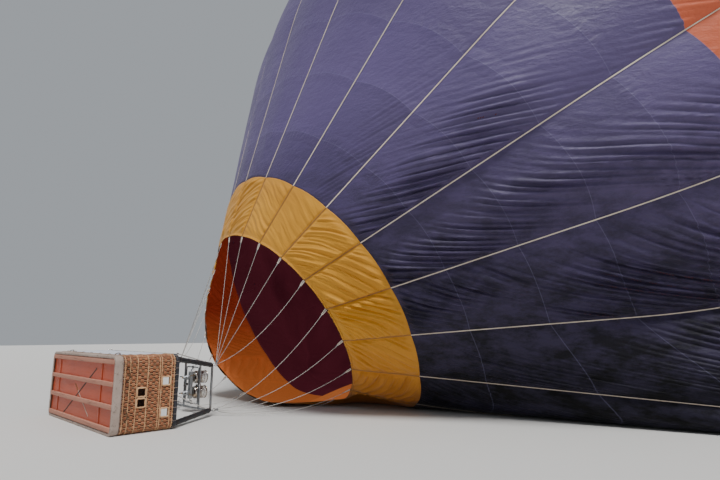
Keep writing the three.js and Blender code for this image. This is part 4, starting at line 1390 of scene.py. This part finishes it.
makeRim()
makeUprights()
makeRods()
print("rim, uprights and rods made")


# Burner frame, gimbal and burners
burners = {
    "hinge": 2.2225,  # from the underside
    "middle": 0.55,  # height of the frame's middle
    "frameHalfLength": 0.7975,
    "frameHeights": (0.0975, 1.0025),
    "tube": 0.0222,  # radius
    "crossTubes": (-0.3175, 0.3175),
    "corner": 0.07,
    "yokeHalf": (0.265, 0.365),  # along and across
    "yokeTube": 0.0145,
    "yokeCorner": 0.05,
    "spacing": 0.155,
    "canRadius": 0.13,
    "holesRound": 36,
    "holeRows": 9,
    "coils": 7,
    "coilRadius": 0.1,
    "jetRing": 0.058,
    # along a burner, from the hinge towards the mouth
    "coilFrom": 0.045,
    "coilLength": 0.2,
    "canFrom": 0.064,
    "canLength": 0.226,
    "jetFrom": 0.05,
    "jetLength": 0.016,
    # ends of the pins and knobs, from the middle of the yoke
    "pins": (0.25, 0.312),
    "knobs": (0.2, 0.246),
    "burnerPins": (0.342, 0.39),
    "pinRadius": 0.0185,
    "knobRadius": 0.024,
    # lugs that the corner links hang on, with their corners from each lug's place
    "lugSide": 0.745,
    "lug": ((-0.02, -0.03, -0.006), (0.075, 0.03, 0.006)),
    "lugEyeAhead": 0.058,
    "lugEye": ((-0.008, 0.013), (0.008, 0.013), (0.008, 0.022), (-0.008, 0.022)),
    # radii of pipes and rods
    "coilPipe": 0.0065,
    "jetPipe": 0.007,
    "nozzle": 0.0045,
    "armTube": 0.014,
    "leverRod": 0.006,
    "gripSleeve": 0.011,
    "pilotTube": 0.0045,
    # the rim of a can as (along a burner, past the can's radius)
    "canRim": ((0.286, -0.004), (0.294, -0.004), (0.296, 0), (0.294, 0.003), (0.286, 0.003)),
    # profiles as (along a burner, distance from its axis)
    "valveBody": ((-0.21, 0), (-0.21, 0.02), (-0.2, 0.026), (-0.185, 0.026), (-0.18, 0.034),
                  (-0.15, 0.034), (-0.146, 0.044), (-0.1, 0.045), (-0.07, 0.045), (-0.068, 0.038),
                  (-0.05, 0.038), (-0.05, 0)),
    "inletNut": ((-0.226, 0), (-0.226, 0.012), (-0.222, 0.0145),
                 (-0.208, 0.0145), (-0.205, 0.012), (-0.205, 0)),
    "tap": ((-0.018, 0), (-0.018, 0.014), (-0.01, 0.016), (0.012, 0.013), (0.02, 0.009), (0.02, 0)),
    # routes as (along a burner, along the basket, away from the other burner)
    "lever": ((-0.12, 0.03, 0), (-0.125, 0.075, 0), (-0.15, 0.12, 0.01), (-0.2, 0.14, 0.015)),
    "grip": ((-0.16, 0.125, 0.011), (-0.21, 0.143, 0.016)),
    "pilotPipe": ((-0.08, -0.05, 0.03), (-0.03, -0.075, 0.045), (0.02, -0.07, 0.05), (0.06, -0.045, 0.035)),
    "arm": ((-0.03, 0, 0.26), (-0.03, 0, 0.315), (0, 0, 0.325), (0, 0, 0.345)),  # from the yoke's middle
}


def roundedLoop(half, corner, place, steps=6):
    # a rectangle with rounded corners in the plane across X
    route = []
    for a, b, turn in ((1, 1, 0), (-1, 1, 1), (-1, -1, 2), (1, -1, 3)):
        for k in range(steps + 1):
            angle = (turn + k / steps) * fullTurn / 4
            route.append(place + Vector((0, a * (half[0] - corner) + corner * math.cos(angle),
                                         b * (half[1] - corner) + corner * math.sin(angle))))
    return route


def placed(shape, matrix):
    bmesh.ops.transform(shape, matrix=matrix, verts=shape.verts)
    bmesh.ops.recalc_face_normals(shape, faces=shape.faces)
    return shape


def makeLoadFrame():
    b = burners
    middle = inBasket(b["hinge"], 0, b["middle"])
    low, high = b["frameHeights"]
    loop = roundedLoop((b["frameHalfLength"], (high - low) / 2), b["corner"], middle)
    addTubes("frame_loop", [loop], b["tube"], satinSteel, replaced=["load_frame"],
             closed=True, sides=16)
    heights = (low + 0.012, high - 0.012)
    crosses = [[inBasket(b["hinge"], y, height) for height in heights] for y in b["crossTubes"]]
    addTubes("frame_crosses", crosses, b["tube"] - 0.001, satinSteel, sides=16)
    count = 0
    for side in (-1, 1):
        for height, out in ((low, 1), (high, -1)):
            count += 1
            lug = roundedBlock(*b["lug"], 0.004, 3)
            eye = turned(b["lugEye"], 24, ring=True)
            place = inBasket(b["hinge"] + 0.01, side * b["lugSide"], height + out * 0.002)
            addPiece(f"frame_lug_{count}", placed(lug, Matrix.Translation(place)), [satinSteel])
            ahead = Matrix.Translation(place + Vector((b["lugEyeAhead"], 0, 0)))
            turn = ahead @ Matrix.Rotation(math.pi / 2, 4, "Y")
            addPiece(f"lug_eye_{count}", placed(eye, turn), [polishedSteel])
    collars = []
    for y in b["crossTubes"]:
        for height in (low, high):
            collars.append([inBasket(b["hinge"], y - 0.03, height), inBasket(b["hinge"], y + 0.03, height)])
        collars.append([inBasket(b["hinge"], y, b["middle"] - 0.04),
                        inBasket(b["hinge"], y, b["middle"] + 0.04)])
    addTubes("frame_collars", collars, b["tube"] + 0.005, polishedSteel, sides=16)


def makeYoke():
    b = burners
    middle = inBasket(b["hinge"], 0, b["middle"])
    loop = roundedLoop(b["yokeHalf"], b["yokeCorner"], middle)
    addTubes("yoke_loop", [loop], b["yokeTube"], satinSteel, body="gimbal",
             replaced=["gimbal_yoke"], closed=True, sides=16)
    pins = [[middle + Vector((0, side * out, 0)) for out in b["pins"]] for side in (-1, 1)]
    pins += [[middle + Vector((0, 0, side * out)) for out in b["burnerPins"]] for side in (-1, 1)]
    addTubes("yoke_pins", pins, b["pinRadius"], polishedSteel, body="gimbal", sides=16)
    knobs = [[middle + Vector((0, side * out, 0)) for out in b["knobs"]] for side in (-1, 1)]
    addTubes("friction_knobs", knobs, b["knobRadius"], blackPlastic, body="gimbal", sides=12)


def makeCan(index, height):
    b = burners
    hub = inBasket(b["hinge"], 0, height)
    rows = b["holeRows"] + 2
    radius = b["canRadius"] - 0.0012
    start, length = b["canFrom"], b["canLength"]

    def placeAt(u, v):
        angle = u * fullTurn
        return hub + Vector((start + v * length, radius * math.cos(angle), radius * math.sin(angle)))
    shape = laidGrid(b["holesRound"], rows, placeAt, (36, 11))
    bmesh.ops.remove_doubles(shape, verts=shape.verts, dist=1e-5)
    outside = next(iter(shape.faces))
    faceTowards(shape, outside, outside.calc_center_median() - hub)
    # rows of holes are cut by insetting each face of the windshield and dropping its middle
    low, high = hub.x + start + length / rows, hub.x + start + length - length / rows
    holed = [f for f in shape.faces if low < f.calc_center_median().x < high]
    bmesh.ops.inset_individual(shape, faces=holed, thickness=0.0062, depth=0)
    bmesh.ops.delete(shape, geom=holed, context="FACES_ONLY")
    can = addPiece(f"burner_windshield_{index}", shape, [polishedShell], body="burners",
                   replaced=[f"burner_can_{index}"])
    thicken(can, 0.0016)
    rim = turned([(along, b["canRadius"] + past) for along, past in b["canRim"]], 48, ring=True)
    base = turned([(0.012, 0), (0.012, 0.09), (0.03, 0.112), (0.068, b["canRadius"] + 0.001),
                   (0.068, b["canRadius"] - 0.003), (0.034, 0.104), (0.018, 0.086), (0.018, 0)], 48)
    at = Matrix.Translation(hub)
    addPiece(f"burner_rim_{index}", placed(rim, at), [polishedShell], body="burners")
    addPiece(f"burner_base_{index}", placed(base, at), [polishedShell], body="burners")
    steps = b["coils"] * 16
    coil = []
    for k in range(steps + 1):
        angle, along = k * fullTurn / 16, b["coilFrom"] + b["coilLength"] * k / steps
        coil.append(hub + Vector((along, b["coilRadius"] * math.cos(angle),
                                  b["coilRadius"] * math.sin(angle))))
    addTubes(f"burner_coil_{index}", [coil], b["coilPipe"], sootedSteel, body="burners")
    ring, along = b["jetRing"], b["jetFrom"]
    jets = [hub + Vector((along, ring * y, ring * z)) for y, z in circle(24)]
    addTubes(f"burner_jet_ring_{index}", [jets], b["jetPipe"], brass, body="burners", closed=True)
    nozzles = [[hub + Vector((x, ring * y, ring * z)) for x in (along, along + b["jetLength"])]
               for y, z in circle(8)]
    nozzles.append([hub + Vector((0.018, 0, 0)), hub + Vector((0.075, 0, 0))])
    addTubes(f"burner_jets_{index}", nozzles, b["nozzle"], brass, body="burners")


def makeBurnerBlock():
    b = burners
    middle = inBasket(b["hinge"], 0, b["middle"])
    bar = roundedBlock(middle + Vector((-0.07, -0.045, -0.275)), middle + Vector((-0.006, 0.045, 0.275)),
                       0.008, 3)
    addPiece("burner_manifold", bar, [castAluminium], body="burners",
             replaced=["burner_block"])
    arms = [[middle + Vector((x, y, side * z)) for x, y, z in b["arm"]] for side in (-1, 1)]
    addTubes("burner_arms", arms, b["armTube"], satinSteel, body="burners", sides=12)
    for i, side in enumerate((-1, 1)):
        hub = middle + Vector((0, 0, side * b["spacing"]))
        at = Matrix.Translation(hub)
        addPiece(f"valve_body_{i + 1}", placed(turned(b["valveBody"], 32), at), [castAluminium],
                 body="burners")
        addPiece(f"inlet_nut_{i + 1}", placed(turned(b["inletNut"], 6), at), [brass], body="burners",
                 smooth=False)
        lever, grip, pilot = [[hub + Vector((x, y, side * z)) for x, y, z in b[route]]
                              for route in ("lever", "grip", "pilotPipe")]
        addTubes(f"blast_lever_{i + 1}", [lever], b["leverRod"], satinSteel, body="burners", rounded=True)
        addTubes(f"blast_grip_{i + 1}", [grip], b["gripSleeve"], blackPlastic, body="burners", sides=12)
        addTubes(f"pilot_pipe_{i + 1}", [pilot], b["pilotTube"], brass, body="burners", rounded=True)
        turn = Matrix.Translation(hub + Vector((-0.165, -0.047, 0))) @ Matrix.Rotation(-math.pi / 2, 4, "Z")
        addPiece(f"pilot_tap_{i + 1}", placed(turned(b["tap"], 16), turn), [blackPlastic], body="burners")


def castFinish():
    # cast and blasted aluminium: even grey, fine pits
    material, tree = newMaterial("castAluminium", Metallic=1.0)
    place = addNode(tree, "TexCoord", {}, "Object")
    pits = addNode(tree, "TexNoise", {"Vector": place, "Scale": 180, "Detail": 3}, "Fac")
    stains = addNode(tree, "TexNoise", {"Vector": place, "Scale": 16, "Detail": 4}, "Fac")
    colour = addNode(tree, "Mix", {0: stains, 6: "#8E9092", 7: "#BDBFC1"}, 2, data_type="RGBA")
    rough = addNode(tree, "MapRange", {0: stains, 3: 0.42, 4: 0.6})
    linkShader(tree, Base_Color=colour, Roughness=rough,
               Normal=addNode(tree, "Bump", {"Height": pits, "Distance": 0.0008}))
    return material


def mouldedPlastic():
    # moulded black nylon: satin with a fine mould grain, greyer where hands rub it
    material, tree = newMaterial("blackPlastic", IOR=1.53)
    place = addNode(tree, "TexCoord", {}, "Object")
    rub = addNode(tree, "TexNoise", {"Vector": place, "Scale": 30, "Detail": 4}, "Fac")
    colour = addNode(tree, "Mix", {0: rub, 6: "#0E0E10", 7: "#2A2A2C"}, 2, data_type="RGBA")
    rough = addNode(tree, "MapRange", {0: rub, 3: 0.35, 4: 0.6})
    linkShader(tree, Base_Color=colour, Roughness=rough,
               Normal=addNode(tree, "Bump", {"Height": rub, "Distance": 0.0006}))
    return material


satinSteel = brushedMetal("satinSteel", "#A9ACB0", "#8E8C8A", 0.34, 30, (1, 0.3, 0.3))
polishedShell = brushedMetal("polishedShell", "#D6D3CE", "#B8A48C", 0.16, 24, (0.2, 1, 1))
sootedSteel = brushedMetal("sootedSteel", "#6A5A4E", "#3A322E", 0.45, 30, (1, 1, 1))
brass = brushedMetal("brass", "#C79A4A", "#96703A", 0.28, 40, (1, 1, 1))
castAluminium = castFinish()
blackPlastic = mouldedPlastic()
makeLoadFrame()
makeYoke()
for can, side in ((1, -1), (2, 1)):
    makeCan(can, burners["middle"] + side * burners["spacing"])
makeBurnerBlock()
print("burner frame and burners made")


# Fuel cylinders lie along the basket's height, with collar, valve and two straps
fuel = {
    "count": 4,
    # profiles as (from the foot along the basket's height, distance from the cylinder's axis)
    "shell": ((0.004, 0), (0.004, 0.1), (0.0, 0.112), (0.002, 0.12), (0.022, 0.124), (0.03, 0.132),
              (0.055, 0.146), (0.09, 0.15), (0.38, 0.15), (0.383, 0.1515), (0.389, 0.1515), (0.392, 0.15),
              (0.7, 0.15), (0.74, 0.144), (0.768, 0.124), (0.785, 0.095), (0.795, 0.05), (0.8, 0)),
    "collar": ((0.776, 0.092), (0.866, 0.092), (0.87, 0.089), (0.866, 0.086), (0.776, 0.086)),
    "valve": ((0.796, 0), (0.796, 0.02), (0.812, 0.02), (0.814, 0.014), (0.835, 0.014), (0.838, 0.03),
              (0.85, 0.032), (0.854, 0.028), (0.856, 0.008), (0.858, 0)),
    "straps": (0.2, 0.58),
    "strapHalf": 0.025,
    "strapFaces": (0.1508, 0.1535),  # inner and outer, from the axis
}


def makeCylinders():
    f = fuel
    inner, outer = f["strapFaces"]
    for i in range(1, f["count"] + 1):
        low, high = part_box(f"fuel_cylinder_{i}")
        at = Matrix.Translation(Vector((low.x, (low.y + high.y) / 2, (low.z + high.z) / 2)))
        addPiece(f"cylinder_shell_{i}", placed(turned(f["shell"], 64), at), [tankSteel],
                 replaced=[f"fuel_cylinder_{i}"])
        addPiece(f"cylinder_collar_{i}", placed(turned(f["collar"], 64, ring=True), at), [tankSteel])
        addPiece(f"cylinder_valve_{i}", placed(turned(f["valve"], 20), at), [brass])
        for k, place in enumerate(f["straps"]):
            first, last = place - f["strapHalf"], place + f["strapHalf"]
            strap = turned([(first, inner), (last, inner), (last, outer), (first, outer)], 64, ring=True)
            addPiece(f"cylinder_strap_{i}_{k + 1}", placed(strap, at), [strapWebbing])


tankSteel = brushedMetal("tankSteel", "#C2C4C6", "#9FA0A2", 0.3, 40, (1, 0.15, 0.15))
makeCylinders()
print("fuel cylinders made")


# Blank sheet laced to the basket's upper side, and wound cane edges on the partitions
banner = {
    "from": (0.19, -1.33),
    "to": (0.99, 1.43),
    "height": 1.253,
    "overHoop": 0.0085,
    "hoopReach": 0.03,
    "wrinkle": 0.005,
    "scallop": 0.012,  # how far the edge pulls in between two eyelets
    "eyelets": 7,
    "eyeletRadius": 0.009,
    "eyeletWire": 0.0028,
    "tieRadius": 0.003,
    "hook": ((0, 0.002), (0.02, 0.004), (0.035, -0.004), (0.038, -0.012)),  # a tie's route, outwards and up
    "thickness": 0.0015,
}


def paleNylon():
    # thin pale nylon sheet: grey-white, faintly blue, soft wrinkles and fold lines from storage
    material, tree = newMaterial("paleNylon", Roughness=0.6, Sheen_Weight=0.1)
    place = addNode(tree, "TexCoord", {}, "Object")
    broad = addNode(tree, "TexNoise", {"Vector": place, "Scale": 3, "Detail": 5}, "Fac")
    colour = addNode(tree, "Mix", {0: broad, 6: "#B9BCC8", 7: "#DCDDE2"}, 2, data_type="RGBA")
    dirt = addNode(tree, "TexNoise", {"Vector": place, "Scale": 9, "Detail": 6, "Roughness": 0.7}, "Fac")
    marks = addNode(tree, "MapRange", {0: dirt, 1: 0.56, 2: 0.7, 3: 0, 4: 0.4})
    marked = addNode(tree, "Mix", {0: marks, 6: colour, 7: "#8E8A84"}, 2, data_type="RGBA")
    linkShader(tree, Base_Color=marked, Normal=addNode(tree, "Bump", {"Height": dirt, "Distance": 0.003}))
    return material


def makeBanner():
    b = banner
    sheetCloth = paleNylon()

    def placeAt(u, v):
        x = b["from"][0] + (b["to"][0] - b["from"][0]) * u
        y = b["from"][1] + (b["to"][1] - b["from"][1]) * v
        edge = smoothStep(min(u, 1 - u), 0, 0.12) * smoothStep(min(v, 1 - v), 0, 0.04)
        scallop = abs(math.sin(math.pi * v * (b["eyelets"] - 1)))
        pull = b["scallop"] * scallop * (1 - smoothStep(min(u, 1 - u), 0, 0.2))
        wave = abs(grain(x * 4.5, y * 2.2, 2.2)) + 0.5 * abs(grain(x * 11 + y * 3, y * 6, 7.1))
        x += pull if u < 0.5 else -pull
        raised = max(math.exp(-((x - hoop) / b["hoopReach"]) ** 2) for hoop in wicker["hoops"])
        return inBasket(x, y, b["height"] + b["overHoop"] * raised + b["wrinkle"] * wave * (0.4 + edge))
    shape = laidGrid(54, 160, placeAt, (1, 3))
    faceTowards(shape, next(iter(shape.faces)), Vector((0, 0, 1)))
    area = sum(face.calc_area() for face in shape.faces)
    piece = addPiece("banner_sheet", shape, [sheetCloth], replaced=["side_banner"])
    thicken(piece, b["thickness"], 1)
    ties, rings = [], []
    for x, way in ((b["from"][0], 1), (b["to"][0], -1)):
        for k in range(b["eyelets"]):
            y = b["from"][1] + 0.02 + (b["to"][1] - b["from"][1] - 0.04) * k / (b["eyelets"] - 1)
            centre = inBasket(x + way * 0.022, y, b["height"] + 0.009)
            radius = b["eyeletRadius"]
            rings.append([centre + Vector((radius * across, radius * along, 0))
                          for across, along in circle(12)])
            ties.append([centre + Vector((-way * out, 0, up)) for out, up in b["hook"]])
    addTubes("banner_eyelets", rings, b["eyeletWire"], polishedSteel,
             closed=True, sides=6)
    addTubes("banner_ties", ties, b["tieRadius"], strapWebbing, rounded=True, sides=6)


def makePartitionEdges():
    for i in (1, 2):
        low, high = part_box(f"partition_{i}")
        middle = (low.y + high.y) / 2
        edge = [Vector((high.x, middle, low.z + (high.z - low.z) * k / 40)) for k in range(41)]
        addTubes(f"partition_edge_{i}", [edge], 0.021, paleCane, sides=12)


makeBanner()
makePartitionEdges()
print("banner and partition edges made")


# Stage: pale floor, soft light
stage = {
    "floor": 160,
    "floorColour": "#CFCDC9",
    "skyColour": "#DDE3EA",
    "skyStrength": 0.5,
    # name, strength, angle across it and turn
    "lights": (("keyLight", 3.2, 18, (24, 0, -40)), ("fillLight", 0.4, 60, (60, 0, 20))),
}


def makeStage():
    shape = bmesh.new()
    bmesh.ops.create_grid(shape, x_segments=1, y_segments=1, size=stage["floor"] / 2)
    mesh = bpy.data.meshes.new("floor")
    shape.to_mesh(mesh)
    shape.free()
    material, tree = newMaterial("paleFloor", Roughness=0.9)
    tree.nodes["Principled BSDF"].inputs["Base Color"].default_value = toLinear(stage["floorColour"])
    mesh.materials.append(material)
    ground = bpy.data.objects.new("floor", mesh)
    bpy.context.collection.objects.link(ground)
    world = bpy.data.worlds.new("sky")
    bpy.context.scene.world = world
    world.use_nodes = True
    background = world.node_tree.nodes["Background"]
    background.inputs["Color"].default_value = toLinear(stage["skyColour"])
    background.inputs["Strength"].default_value = stage["skyStrength"]
    for name, energy, angle, turn in stage["lights"]:
        sun = bpy.data.lights.new(name, "SUN")
        sun.energy = energy
        sun.angle = math.radians(angle)
        light = bpy.data.objects.new(name, sun)
        light.rotation_euler = [math.radians(a) for a in turn]
        bpy.context.collection.objects.link(light)


makeStage()
print("stage made")
